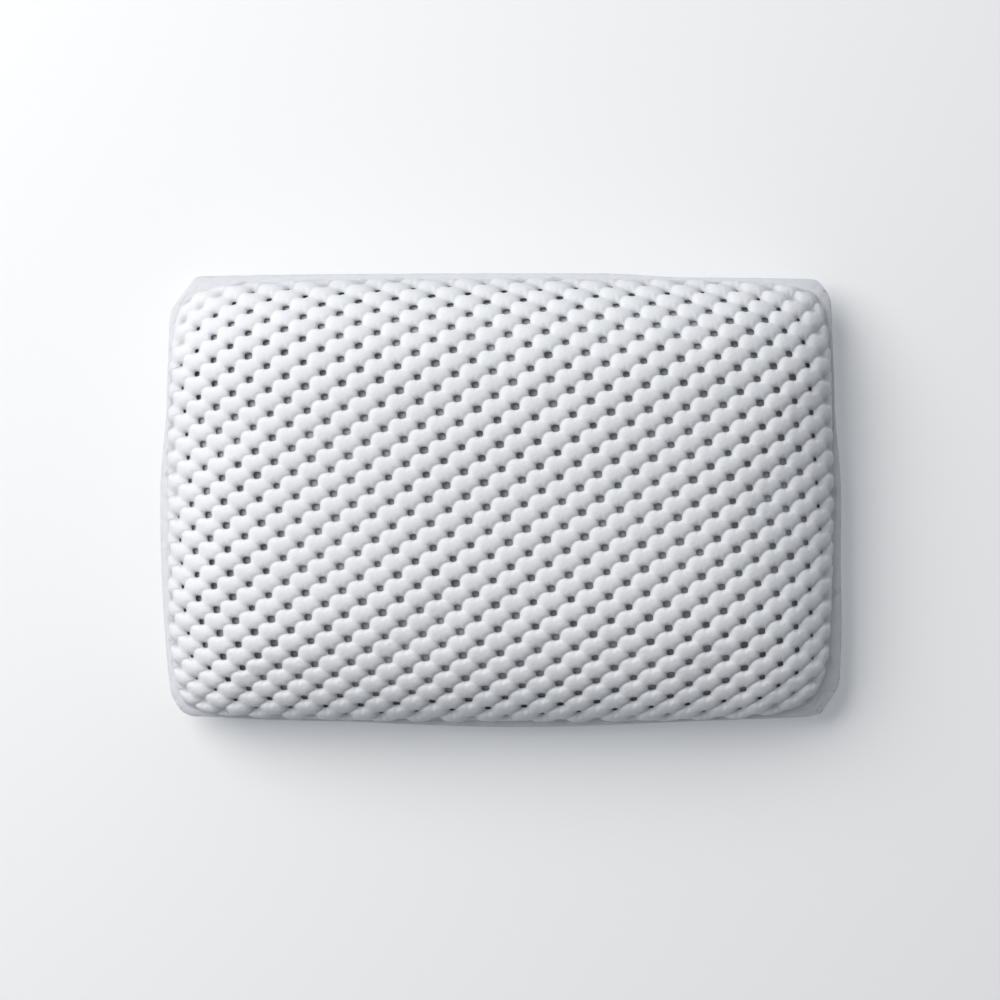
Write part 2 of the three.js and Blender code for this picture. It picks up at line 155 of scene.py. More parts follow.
def in_weld(x, y):
    """Whether a point lies inside the weld's outline before it is trimmed."""
    end, side = bowed(HALF_LENGTH, HALF_WIDTH, x, y)
    over_x = np.maximum(0, np.abs(x) - end + WELD_CORNER)
    over_y = np.maximum(0, np.abs(y) - side + WELD_CORNER)
    return np.hypot(over_x, over_y) < WELD_CORNER


class Cushion:
    """One layer of the pillow: its outline in plan and its height over it."""

    def __init__(self, inset, rise, drop, foot):
        self.rise, self.drop, self.foot = rise, drop, foot
        self.half_length = HALF_LENGTH - WELD_WIDTH - inset
        self.half_width = HALF_WIDTH - WELD_WIDTH - inset
        self.reach = reach_where(lambda x, y: self.fullness(x, y) > 0)

    def fullness(self, x, y):
        """1 in the middle, 0 on the outline and below 0 outside it."""
        end, side = bowed(self.half_length, self.half_width, x, y)
        u, v = np.abs(x) / end, np.abs(y) / side
        along, across = 1 - u**END_POWER, 1 - v**SIDE_POWER
        least = np.minimum(along, across)
        lower = np.array(CORNER_FALLS)[(x > 0).astype(int), (y > 0).astype(int)]
        fall = CORNER_SHARE + lower * (np.minimum(u, 1) * np.minimum(v, 1)) ** CORNER_POWER
        return (np.where(least < 0, least, along * across) - fall) / (1 - CORNER_SHARE)

    def front(self, x, y):
        """Height of the crowned front."""
        return self.foot + self.rise * np.sqrt(np.maximum(0, self.fullness(x, y)))

    def back(self, x, y):
        """Height of the flat back with its rounded edge."""
        filled = np.clip(self.fullness(x, y) / BACK_FLAT_SHARE, 0, 1)
        return self.foot - self.drop * np.sqrt(1 - (1 - filled) ** 2)


PLAIN_REACH = reach_where(in_weld)
RIM_REACH = Cushion(0, FRONT_RISE, 0, 0).reach


def trimmed_off(u, v):
    """How far the weld is trimmed at a point given in shares, on the ends and on the long sides."""
    upper = UPPER_END_TRIM * smoothstep(*UPPER_REACH, v)
    right = upper - LOWER_RIGHT_GROWTH * smoothstep(*LOWER_REACH, -v)
    left = np.where(v > 0, upper, LOWER_LEFT_TRIM * v**2)
    top = TOP_RIGHT_TRIM * smoothstep(*RIGHT_REACH, u) + TOP_TRIM
    middle, spread = BOTTOM_UNTRIMMED
    bottom = BOTTOM_TRIM * (1 - np.exp(-(((u - middle) / spread) ** 2)))
    return np.where(u > 0, right, left), np.where(v > 0, top, bottom)


def weld_reach(turn):
    """How far from the middle the trimmed edge of the weld lies in a direction."""
    full = PLAIN_REACH(turn)
    along, across = np.cos(turn), np.sin(turn)
    u, v = full * along / HALF_LENGTH, full * across / HALF_WIDTH
    ends, sides = trimmed_off(u, v)
    on_end = smoothstep(-CORNER_CHANGE, CORNER_CHANGE, np.abs(u) - np.abs(v))
    ends = ends / np.maximum(np.abs(along), LEAST_SLANT)
    sides = sides / np.maximum(np.abs(across), LEAST_SLANT)
    trimmed = full - ends * on_end - sides * (1 - on_end)
    for degrees, far in CORNER_CUTS:
        cut = far / np.maximum(np.cos(turn - math.radians(degrees)), LEAST_TOWARD)
        trimmed = -CUT_ROUND * np.logaddexp(-trimmed / CUT_ROUND, -cut / CUT_ROUND)
    return np.maximum(trimmed, RIM_REACH(turn) + LEAST_RIM)


def rim_lean(x, y):
    """How far the welded rim hangs down, outside the cushion's outline."""
    out = np.maximum(0, np.hypot(x, y) - RIM_REACH(np.arctan2(y, x)))
    return RIM_LEAN * out**2 / (out + RIM_EASE)


def section(half, rise, power, draw):
    """The side view from the middle to the edge: cloth length and plan share."""
    turn = np.linspace(0, math.pi / 2, SECTION_STEPS)
    share = np.sin(turn)
    height = np.sqrt(np.maximum(0, 1 - share**power))
    steps = np.hypot(np.diff(share) * half, np.diff(height) * rise * draw)
    return np.concatenate([[0], np.cumsum(steps)]), share


class Cloth:
    """The mesh face, laid over the front from flat coordinates p (long way) and q (short way)."""

    def __init__(self, layer):
        self.layer = layer
        self.long = section(layer.half_length, layer.rise, END_POWER, END_DRAW)
        self.short = section(layer.half_width, layer.rise, SIDE_POWER, SIDE_DRAW)
        self.half_p = self.long[0][-1] + CLOTH_HEM
        self.half_q = self.short[0][-1] + CLOTH_HEM
        x, y = self.plan(*self.border())
        turns = np.arctan2(y, x)
        order = np.argsort(turns)
        turns, reach = turns[order], np.hypot(x, y)[order]
        self.cut = lambda turn: np.interp(turn, turns, reach, period=2 * math.pi)

    def planes(self):
        """The straight cuts that trim the cloth: (direction, distance from the middle)."""
        inner_p, inner_q = self.half_p - CLOTH_CORNER, self.half_q - CLOTH_CORNER
        cuts = []
        for quarter, (sp, sq) in enumerate(((1, 1), (-1, 1), (-1, -1), (1, -1))):
            for k in range(CLOTH_CORNER_CUTS):
                turn = (quarter + k / CLOTH_CORNER_CUTS) * math.pi / 2
                way = (math.cos(turn), math.sin(turn))
                corner = way[0] * sp * inner_p + way[1] * sq * inner_q
                cuts.append((way, corner + CLOTH_CORNER))
        return cuts

    def border(self):
        """Points on the trimmed edge, in flat coordinates."""
        turns = np.linspace(-math.pi, math.pi, BORDER_STEPS, endpoint=False)
        p, q = np.cos(turns), np.sin(turns)
        far = np.full(BORDER_STEPS, 1.0)
        for way, reach in self.planes():
            toward = p * way[0] + q * way[1]
            far = np.minimum(far, np.where(toward > TINY, reach / np.maximum(toward, TINY), far))
        return p * far, q * far

    def plan(self, p, q):
        """Where flat cloth lies in plan, before its edge is fitted to the weld."""
        ap, aq = np.abs(p), np.abs(q)
        layer = self.layer
        u = np.interp(ap, *self.long) + np.maximum(0, ap - self.long[0][-1]) / layer.half_length
        v = np.interp(aq, *self.short) + np.maximum(0, aq - self.short[0][-1]) / layer.half_width
        gather_u = 1 - GATHER_ENDS[0] * v**2 - GATHER_ENDS[1] * np.minimum(v, 1) ** GATHER_ENDS[2]
        gather_v = 1 - GATHER_SIDES[0] * u**2 - GATHER_SIDES[1] * np.minimum(u, 1) ** GATHER_SIDES[2]
        return np.sign(p) * layer.half_length * u * gather_u, np.sign(q) * layer.half_width * v * gather_v

    def fitted(self, p, q):
        """Where cloth lies in plan, and how far it lies out on the weld."""
        x, y = self.plan(p, q)
        turn, far = np.arctan2(y, x), np.hypot(x, y)
        body = self.layer.reach(turn)
        out = np.maximum(0, far - body)
        share = (weld_reach(turn) - body) / (self.cut(turn) - body)
        scale = np.where(out > 0, (body + out * share) / np.maximum(far, TINY), 1)
        return x * scale, y * scale, out * share

    def lie(self, p, q):
        """Points of the laid cloth."""
        x, y, _ = self.fitted(p, q)
        return np.stack([x, y, self.layer.front(x, y) - rim_lean(x, y)], axis=-1)

    def eased(self, radius):
        """The laid cloth as a surface whose sharp folds are rounded to about a radius."""
        ways = ((0, 0), (radius, 0), (-radius, 0), (0, radius), (0, -radius))
        return lambda p, q: sum(self.lie(p + dp, q + dq) for dp, dq in ways) / len(ways)


def facing(surface, p, q, step):
    """The outward direction of a surface, from points a step apart."""
    along = surface(p + step, q) - surface(p - step, q)
    across = surface(p, q + step) - surface(p, q - step)
    normal = np.cross(along, across)
    return normal / np.maximum(np.linalg.norm(normal, axis=-1, keepdims=True), TINY)


def unevenness(p, q):
    """Slow swells of hand-filled foam, from -1 to 1."""
    return sum(size * np.sin(p * a + q * b + start) for a, b, start, size in SWELLS) / SWELL_SCALE


def chance(i, j, seed):
    """An even random number from 0 to 1 that depends only on i, j and seed."""
    value = np.sin(i * SCATTER[0] + j * SCATTER[1] + seed * SCATTER[2]) * SCATTER[3]
    return value - np.floor(value)


def size_setting(name, description, default, unit="LENGTH"):
    """A size, or a row of sizes, that a user can change."""
    told = {"name": name, "description": description, "default": default, "unit": unit}
    if isinstance(default, tuple):
        return bpy.props.FloatVectorProperty(size=len(default), **told)
    return bpy.props.FloatProperty(**told)


def colour_setting(name, description, default):
    """A colour that a user can change."""
    told = {"name": name, "description": description, "default": (*default, 1)}
    return bpy.props.FloatVectorProperty(subtype="COLOR", size=4, **told)


class PillowMeshSettings(bpy.types.PropertyGroup):
    """Sizes of the foam mesh."""

    row_pitch: size_setting("Row pitch", "From puff to puff along a row", 17.743 * MM)
    column_pitch: size_setting("Column pitch", "From puff to puff across the rows", 11.476 * MM)
    row_turn: size_setting("Row turn", "How far the rows climb to the right", 0.0729, "ROTATION")
    column_turn: size_setting("Column turn", "How far the columns lean", 0.0929, "ROTATION")
    shift: size_setting("Shift", "Where a hole lies near the middle", (2.6 * MM, 3.3 * MM))
    puff_height: size_setting("Puff height", "Top of a puff over the mesh", 2.5 * MM)
    neck_height: size_setting("Neck height", "Crease between puffs along a strand", 1.8 * MM)
    crease_height: size_setting("Crease height", "Crease between neighbouring strands", 1.25 * MM)
    overlap: size_setting("Overlap", "How far a puff swells into the strand above it", 1.0 * MM)
    hole_half: size_setting("Half hole", "Half the width and half the height of a hole", (1.8 * MM, 1.5 * MM))
    web: size_setting("Web", "Thickness of the mesh between its puffs", 0.6 * MM)
    sunk: size_setting("Sunk", "How far the web lies inside the frame's skin", 1.4 * MM)


class PillowFinishSettings(bpy.types.PropertyGroup):
    """Colours of the pillow."""

    foam_white: colour_setting("Foam white", "Top of the puffs", (0.80, 0.81, 0.83))
    # Painted shade: the grey that the creases and holes are painted with, not a colour of the foam.
    foam_shade: colour_setting("Foam shade", "Creases and holes", (0.68, 0.69, 0.72))
    sheet_white: colour_setting("Sheet white", "Back sheet", (0.74, 0.76, 0.78))
    liner_grey: colour_setting("Liner grey", "Fabric behind the holes", (0.60, 0.61, 0.64))


class PillowStageSettings(bpy.types.PropertyGroup):
    """Camera and light."""

    distance: size_setting("Distance", "Camera to the seam", 1.10)
    lean: size_setting("Lean", "How far the camera leans right and up", (0.0136, 0.0085), "ROTATION")
    lens: size_setting("Lens", "Focal length in millimetres", 81.7, "NONE")
    key: size_setting("Key", "Power of the key light", 27.6, "POWER")
    sky: size_setting("Sky", "Strength of the surrounding light", 0.40, "NONE")
    ground: size_setting("Ground", "Strength of the light from below", 0.36, "NONE")


def placed(name, data):
    """A new object of the scene."""
    made = bpy.data.objects.new(name, data)
    bpy.context.scene.collection.objects.link(made)
    return made


def new_object(name, points, faces):
    """A smooth mesh object from points and faces."""
    mesh = bpy.data.meshes.new(name)
    mesh.from_pydata([tuple(map(float, v)) for v in points], [], faces)
    mesh.polygons.foreach_set("use_smooth", [True] * len(mesh.polygons))
    mesh.update()
    return placed(name, mesh)


@contextmanager
def edited(mesh):
    """A mesh open for editing, written back at the end."""
    bm = bmesh.new()
    bm.from_mesh(mesh)
    yield bm
    bm.to_mesh(mesh)
    bm.free()


def result_of(piece):
    """A plain mesh of what an object's modifiers make of it."""
    graph = bpy.context.evaluated_depsgraph_get()
    return bpy.data.meshes.new_from_object(piece.evaluated_get(graph))


def combined(piece, other, operation):
    """Cuts another object from a piece or joins it on. The other one is used up."""
    modifier = piece.modifiers.new("combined", "BOOLEAN")
    modifier.operation = operation
    modifier.solver = "EXACT"
    modifier.object = other
    result = result_of(piece)
    piece.modifiers.remove(modifier)
    old = piece.data
    piece.data = result
    bpy.data.meshes.remove(old)
    bpy.data.objects.remove(other)


def grid_faces(rows, columns):
    """Four-sided faces between the points of a grid."""
    corners = [i * columns + j for i in range(rows - 1) for j in range(columns - 1)]
    return [(a, a + columns, a + columns + 1, a + 1) for a in corners]


def closed_shell(name, upper, lower):
    """A closed piece between two grids of points of the same shape, upper facing up."""
    rows, columns = upper.shape[:2]
    count = rows * columns
    faces = []
    for face in grid_faces(rows, columns):
        faces.append(face)
        a, b, c, d = (k + count for k in face)
        faces.append((a, d, c, b))
    rim = list(range(columns))
    rim += [i * columns + columns - 1 for i in range(1, rows)]
    rim += [(rows - 1) * columns + j for j in range(columns - 2, -1, -1)]
    rim += [i * columns for i in range(rows - 2, 0, -1)]
    for a, b in zip(rim, rim[1:] + rim[:1]):
        faces.append((a, b, b + count, a + count))
    return new_object(name, np.concatenate([upper.reshape(-1, 3), lower.reshape(-1, 3)]), faces)


def dressed(piece, material, body, slot, *nodes):
    """Gives a finished piece its material and its body, and hides the frame nodes it stands for. The slot is
    not used.
    """
    piece.data.materials.clear()
    piece.data.materials.append(material)
    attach(piece, body)
    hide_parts(*nodes)


# Materials


def wire(tree, *wires):
    """Links nodes, each wire given as (from node, its output, to node, its input)."""
    for source, output, target, slot in wires:
        tree.links.new(source.outputs[output], target.inputs[slot])


def node(tree, kind, x, y, **values):
    """A node whose inputs or properties are set by name, with _ for each space."""
    made = tree.nodes.new(kind)
    made.location = (x, y)
    for name, value in values.items():
        label = name.replace("_", " ")
        if label in made.inputs:
            made.inputs[label].default_value = value
        else:
            setattr(made, name, value)
    return made


def grain_group():
    """A fine skin: two sizes of noise, put out as one height and one mask."""
    found = bpy.data.node_groups.get("skin_grain")
    if found:
        return found
    tree = bpy.data.node_groups.new("skin_grain", "ShaderNodeTree")
    for name, value in (("Fine", 2600.0), ("Coarse", 260.0), ("Balance", 0.5)):
        socket = tree.interface.new_socket(name, in_out="INPUT", socket_type="NodeSocketFloat")
        socket.default_value = value
    for name in ("Height", "Mottle"):
        tree.interface.new_socket(name, in_out="OUTPUT", socket_type="NodeSocketFloat")
    start = node(tree, "NodeGroupInput", -900, 0)
    end = node(tree, "NodeGroupOutput", 300, 0)
    place = node(tree, "ShaderNodeTexCoord", -900, -200)
    fine = node(tree, "ShaderNodeTexNoise", -600, 150, Detail=2.0, Roughness=0.6)
    coarse = node(tree, "ShaderNodeTexNoise", -600, -150, Detail=3.0, Roughness=0.55)
    mix = node(tree, "ShaderNodeMix", -200, 0, data_type="FLOAT")
    wire(
        tree,
        (place, "Object", fine, "Vector"),
        (start, "Fine", fine, "Scale"),
        (place, "Object", coarse, "Vector"),
        (start, "Coarse", coarse, "Scale"),
        (start, "Balance", mix, "Factor"),
        (fine, "Fac", mix, "A"),
        (coarse, "Fac", mix, "B"),
        (mix, "Result", end, "Height"),
        (coarse, "Fac", end, "Mottle"),
    )
    return tree


def grained_material(name, fine, coarse, strength, distance, **values):
    """A material whose skin has a grain: (material, tree, shader, grain)."""
    material = bpy.data.materials.new(name)
    material.use_nodes = True
    tree = material.node_tree
    tree.nodes.clear()
    out = node(tree, "ShaderNodeOutputMaterial", 600, 0)
    shader = node(tree, "ShaderNodeBsdfPrincipled", 300, 0, **values)
    grain = node(tree, "ShaderNodeGroup", -500, -300, node_tree=grain_group(), Fine=fine, Coarse=coarse)
    bump = node(tree, "ShaderNodeBump", 0, -300, Strength=strength, Distance=distance)
    wire(
        tree,
        (shader, "BSDF", out, "Surface"),
        (grain, "Height", bump, "Height"),
        (bump, "Normal", shader, "Normal"),
    )
    return material, tree, shader, grain


def foam_mesh_material(finish):
    """Expanded vinyl foam: matt white skin, with painted shade that greys the creases and holes and darkens
    the spots where a hole is closed.
    """
    material, tree, shader, grain = grained_material(
        "foam_mesh", fine=1900.0, coarse=420.0, strength=0.35, distance=0.25 * MM, Roughness=0.72,
        Subsurface_Weight=0.12, Subsurface_Radius=(0.9, 0.95, 1.0), Subsurface_Scale=1.5 * MM,
    )
    # Painted shade: the tone runs from foam white on the puff tops to foam shade where points lie low, in the
    # creases and down the hole walls.
    crease = node(tree, "ShaderNodeAttribute", -700, 200, attribute_name="crease")
    deep = node(
        tree, "ShaderNodeMapRange", -500, 200, interpolation_type="SMOOTHSTEP", From_Min=0.35, From_Max=1.0
    )
    white, grey = tuple(finish.foam_white), tuple(finish.foam_shade)
    tone = node(tree, "ShaderNodeMix", -200, 200, data_type="RGBA", A=white, B=grey)
    mottle = node(tree, "ShaderNodeMapRange", -200, -50, To_Min=0.94, To_Max=1.04)
    # Painted shade: a soft dark spot, down to 0.62 of the colour, round each hole that is closed.
    pit_and_painted_shade = node(tree, "ShaderNodeAttribute", -450, -250, attribute_name="pit_and_painted_shade")
    shade = node(tree, "ShaderNodeMapRange", -200, -250, To_Min=1.0, To_Max=0.62)
    both = node(tree, "ShaderNodeMath", 0, -100, operation="MULTIPLY")
    scale = node(tree, "ShaderNodeMix", 50, 150, data_type="RGBA", blend_type="MULTIPLY", Factor=1.0)
    wire(
        tree,
        (crease, "Fac", deep, "Value"),
        (deep, "Result", tone, "Factor"),
        (grain, "Mottle", mottle, "Value"),
        (pit_and_painted_shade, "Fac", shade, "Value"),
        (mottle, "Result", both, 0),
        (shade, "Result", both, 1),
        (tone, "Result", scale, "A"),
        (both, "Value", scale, "B"),
        (scale, "Result", shader, "Base Color"),
    )
    return material


def plain_grained(name, colour, dark_share, roughness, **grain_values):
    """A grained finish whose colour drifts between two near tones."""
    material, tree, shader, grain = grained_material(name, Roughness=roughness, **grain_values)
    dark = (*(c * dark_share for c in colour[:3]), 1.0)
    tone = node(tree, "ShaderNodeMix", -100, 150, data_type="RGBA", A=colour, B=dark)
    spread = node(tree, "ShaderNodeMapRange", -300, 150, From_Min=0.4, From_Max=0.65)
    wire(
        tree,
        (grain, "Mottle", spread, "Value"),
        (spread, "Result", tone, "Factor"),
        (tone, "Result", shader, "Base Color"),
    )
    return material


def clear_vinyl():
    """Clear soft vinyl with a faint cool tint and fine flow marks."""
    material, tree, shader, grain = grained_material(
        "clear_vinyl", fine=500.0, coarse=90.0, strength=0.18, distance=0.15 * MM, Roughness=0.16,
        IOR=1.52, Transmission_Weight=0.86,
    )
    tone = node(
        tree, "ShaderNodeMix", -100, 150, data_type="RGBA", A=(0.86, 0.93, 0.96, 1), B=(0.78, 0.87, 0.92, 1)
    )
    wire(tree, (grain, "Mottle", tone, "Factor"), (tone, "Result", shader, "Base Color"))
    return material


# The foam mesh, made flat and then laid over the cushion

PUFF_RINGS = (0.38, 0.66, 0.87)
END_HOLE_STEPS = 2
SIDE_HOLE_STEPS = 4
CREASE_STEPS = 4
CREASE_POWER = 0.6
HOLE_SQUARENESS = 4
HOLE_MARGIN = 1.08
DOME_POWER = 2.6
DOME_EASE = 0.72
HOLE_RIM = 0.15 * MM
SMALLEST_HOLE = 0.3
TOP_SHIFT = 0.9
JOIN_DISTANCE = 0.02 * MM
LAST_JOIN_DISTANCE = 0.005 * MM
SPARE_COLUMNS, SPARE_ROWS = 4, 5
TRIM_REACH = 20 * MM

# How holes, pits and puffs differ over the face: heights over the weld, and spreads about 1
HOLE_FADE = (4 * MM, 24 * MM)
PIT_FADE = (1.5 * MM, 7 * MM)
PUFF_FADE = (-0.5 * MM, 9 * MM)
SWELL_FADE = (0, 25 * MM)
HOLE_SPREAD = 0.12
PUFF_SPREAD = 0.05
PIT_WIDTH = 1.4
PIT_DEPTH = 0.5
WELDED_SHARE = 0.10
WELD_SINK = 0.25 * MM
SWELL_HEIGHT = 0.4 * MM
HOLE_SEED, PUFF_SEED = 1, 5


def hole_point(cx, cy, angle, half):
    """A point on a hole's rim, a square with soft corners."""
    c, s = math.cos(angle), math.sin(angle)
    filled = abs(c / half[0]) ** HOLE_SQUARENESS + abs(s / half[1]) ** HOLE_SQUARENESS
    reach = 1 / filled ** (1 / HOLE_SQUARENESS)
    return cx + reach * c, cy + reach * s


def overlap_way(mesh):
    """The way square to the strands, towards the strand above."""
    length = math.hypot(mesh.row_pitch, mesh.column_pitch)
    return -mesh.column_pitch / length, mesh.row_pitch / length


def puff_border(mesh):
    """The border of one puff, anticlockwise: (x, y, height, is on a hole, how sharp its crease is)."""
    hx, hy = mesh.row_pitch / 2, mesh.column_pitch / 2
    lean = math.atan2(hy, hx)
    corners = (
        (hx, 0, math.pi + lean, math.pi - lean, END_HOLE_STEPS),
        (0, hy, -lean, lean - math.pi, SIDE_HOLE_STEPS),
        (-hx, 0, lean, -lean, END_HOLE_STEPS),
        (0, -hy, math.pi - lean, lean, SIDE_HOLE_STEPS),
    )
    arcs = []
    for cx, cy, start, end, steps in corners:
        angles = [start + (end - start) * k / steps for k in range(steps + 1)]
        arcs.append([hole_point(cx, cy, angle, mesh.hole_half) for angle in angles])
    way = overlap_way(mesh)
    border = []
    for side, arc in enumerate(arcs):
        border += [(x, y, HOLE_RIM, True, 1.0) for x, y in arc]
        (ax, ay), (bx, by) = arc[-1], arcs[(side + 1) % 4][0]
        on_neck = side % 2 == 0
        ridge = mesh.neck_height if on_neck else mesh.crease_height
        for k in range(1, CREASE_STEPS):
            t = k / CREASE_STEPS
            middle = math.sin(math.pi * t)
            height = HOLE_RIM + (ridge - HOLE_RIM) * middle**CREASE_POWER
            swell = 0 if on_neck else mesh.overlap * middle
            x, y = ax + (bx - ax) * t + way[0] * swell, ay + (by - ay) * t + way[1] * swell
            border.append((x, y, height, False, 1 - middle if on_neck else 1.0))
    return border


def puff_tile(mesh):
    """One puff of the mesh with its share of the four holes round it."""
    border = puff_border(mesh)
    count = len(border)
    cx, cy = (way * mesh.overlap * TOP_SHIFT for way in overlap_way(mesh))
    points = [(cx, cy, mesh.puff_height)]
    faces = []
    for ring, share in enumerate(PUFF_RINGS + (1.0,)):
        round_side = (1 - share**DOME_POWER) ** DOME_EASE
        flat_side = (1 + math.cos(math.pi * share)) / 2
        for x, y, height, _, sharp in border:
            dome = round_side * sharp + flat_side * (1 - sharp)
            rise = height + (mesh.puff_height - height) * dome
            points.append((cx + (x - cx) * share, cy + (y - cy) * share, rise))
        first = 1 + ring * count
        for k in range(count):
            a, b = first + k, first + (k + 1) % count
            faces.append((0, a, b) if ring == 0 else (a - count, a, b, b - count))
    rim = 1 + len(PUFF_RINGS) * count
    low = {}
    for k, (x, y, _, on_hole, _) in enumerate(border):
        if on_hole:
            low[k] = len(points)
            points.append((x, y, -mesh.web))
    for k in range(count):
        after = (k + 1) % count
        if k in low and after in low:
            faces.append((rim + k, low[k], low[after], rim + after))
    faces.append(tuple(reversed(low.values())))
    return new_object("puff_tile", points, faces)


def lattice_tree():
    """Geometry nodes: puffs on two shifted grids, joined at their creases into one sheet."""
    tree = bpy.data.node_groups.new("foam_mesh_lattice", "GeometryNodeTree")
    tree.interface.new_socket("Geometry", in_out="OUTPUT", socket_type="NodeSocketGeometry")
    for name, kind in (
        ("Geometry", "Geometry"),
        ("Puff", "Object"),
        ("Material", "Material"),
        ("Row pitch", "Float"),
        ("Column pitch", "Float"),
        ("Columns", "Int"),
        ("Rows", "Int"),
        ("Join distance", "Float"),
    ):
        tree.interface.new_socket(name, in_out="INPUT", socket_type="NodeSocket" + kind)
    start = node(tree, "NodeGroupInput", -1200, 0)
    end = node(tree, "NodeGroupOutput", 900, 0)
    puff = node(tree, "GeometryNodeObjectInfo", -900, -300)
    join = node(tree, "GeometryNodeJoinGeometry", 100, 0)
    for step, share in enumerate((0.0, 0.5)):
        y = 300 - 600 * step
        grid = node(tree, "GeometryNodeMeshGrid", -500, y)
        offset = node(tree, "ShaderNodeCombineXYZ", -500, y - 200)
        move = node(tree, "GeometryNodeTransform", -300, y)
        spread = node(tree, "GeometryNodeInstanceOnPoints", -100, y)
        for axis, pitch, number, up in (("X", "Row pitch", "Columns", 0), ("Y", "Column pitch", "Rows", 150)):
            fewer = node(tree, "ShaderNodeMath", -900, y + up, operation="SUBTRACT")
            fewer.inputs[1].default_value = 1.0
            whole = node(tree, "ShaderNodeMath", -700, y + up, operation="MULTIPLY")
            part = node(tree, "ShaderNodeMath", -700, y - 200 - up, operation="MULTIPLY")
            part.inputs[1].default_value = share
            wire(
                tree,
                (start, number, fewer, 0),
                (fewer, 0, whole, 0),
                (start, pitch, whole, 1),
                (start, pitch, part, 0),
                (whole, 0, grid, "Size " + axis),
                (start, number, grid, "Vertices " + axis),
                (part, 0, offset, axis),
            )
        wire(
            tree,
            (grid, "Mesh", move, "Geometry"),
            (offset, "Vector", move, "Translation"),
            (move, "Geometry", spread, "Points"),
            (puff, "Geometry", spread, "Instance"),
            (spread, "Instances", join, "Geometry"),
        )
    real = node(tree, "GeometryNodeRealizeInstances", 300, 0)
    merge = node(tree, "GeometryNodeMergeByDistance", 500, 0)
    paint = node(tree, "GeometryNodeSetMaterial", 700, 0)
    wire(
        tree,
        (start, "Puff", puff, "Object"),
        (join, "Geometry", real, "Geometry"),
        (real, "Geometry", merge, "Geometry"),
        (start, "Join distance", merge, "Distance"),
        (merge, "Geometry", paint, "Geometry"),
        (start, "Material", paint, "Material"),
        (paint, "Geometry", end, "Geometry"),
    )
    return tree


def through_nodes(name, tree, values):
    """Runs a geometry node tree on an empty mesh and returns its result as a plain mesh."""
    carrier = new_object(name + "_carrier", [], [])
    modifier = carrier.modifiers.new("nodes", "NODES")
    modifier.node_group = tree
    for item in tree.interface.items_tree:
        if item.in_out == "INPUT" and item.name in values:
            modifier[item.identifier] = values[item.name]
    result = result_of(carrier)
    carrier.modifiers.remove(modifier)
    bpy.data.objects.remove(carrier)
    result.name = name
    return result


def flat_foam_mesh(mesh, material, reach_p, reach_q):
    """The flat sheet of puffs, wide enough for the cloth's whole rectangle."""
    tile = puff_tile(mesh)
    lean = math.sin(max(mesh.row_turn, mesh.column_turn))
    columns = math.ceil(2 * (reach_p + reach_q * lean) / mesh.row_pitch) + SPARE_COLUMNS
    rows = math.ceil(2 * (reach_q + reach_p * lean) / mesh.column_pitch) + SPARE_ROWS
    values = {
        "Puff": tile,
        "Material": material,
        "Row pitch": mesh.row_pitch,
        "Column pitch": mesh.column_pitch,
        "Columns": columns,
        "Rows": rows,
        "Join distance": JOIN_DISTANCE,
    }
    sheet = through_nodes("foam_mesh_cover", lattice_tree(), values)
    bpy.data.objects.remove(tile)
    return sheet, columns, rows


def rebuilt(mesh, points):
    """Moves a mesh's points."""
    mesh.vertices.foreach_set("co", np.asarray(points, np.float32).ravel())
    mesh.update()


def points_of(mesh):
    """A mesh's points, one in each row."""
    values = np.zeros(len(mesh.vertices) * 3, np.float32)
    mesh.vertices.foreach_get("co", values)
    return values.reshape(-1, 3).astype(float)


def stored(mesh, name, values):
    """Keeps a value for each point, for the material to read."""
    mesh.attributes.new(name, "FLOAT", "POINT").data.foreach_set("value", values.astype(np.float32))


def laid_out(settings, flat, columns, rows):
    """Which puff and hole each point of the flat sheet belongs to, and how it is turned on the cloth."""
    pitch_x, pitch_y = settings.row_pitch, settings.column_pitch
    x = flat[:, 0] + pitch_x * (0.5 * ((columns - 1) % 2))
    y = flat[:, 1] + pitch_y * (0.5 * ((rows - 1) % 2))
    s, t = x / pitch_x + y / pitch_y, x / pitch_x - y / pitch_y
    hole_s, hole_t = np.floor(s) + 0.5, np.floor(t) + 0.5
    row = np.array([math.cos(settings.row_turn), math.sin(settings.row_turn)])
    column = np.array([-math.sin(settings.column_turn), math.cos(settings.column_turn)])
    origin = np.array(settings.shift) - row * pitch_x / 2
    return SimpleNamespace(
        x=x, y=y, puff_s=np.round(s), puff_t=np.round(t), hole_s=hole_s, hole_t=hole_t,
        hole_x=(hole_s + hole_t) / 2 * pitch_x, hole_y=(hole_s - hole_t) / 2 * pitch_y,
        place=lambda ax, ay: origin + ax[:, None] * row + ay[:, None] * column,
    )


def zipped(bm, first, second):
    """Faces between two closed lines of (turn, point), both in order of their turn."""
    i, j = 0, 0
    first, second = first + first[:1], second + second[:1]
    last_i, last_j = len(first) - 1, len(second) - 1
    while i < last_i or j < last_j:
        ahead = j == last_j or (
            i < last_i and (i + 1 == last_i, first[i + 1][0]) <= (j + 1 == last_j, second[j + 1][0])
        )
        corner = first[i + 1][1] if ahead else second[j + 1][1]
        bm.faces.new((first[i][1], second[j][1], corner))
        i, j = (i + 1, j) if ahead else (i, j + 1)


def joined(bm, distance):
    """Joins points that came together and drops faces that have no area."""
    bmesh.ops.remove_doubles(bm, verts=bm.verts, dist=distance)
    bmesh.ops.dissolve_degenerate(bm, edges=bm.edges, dist=distance / 4)


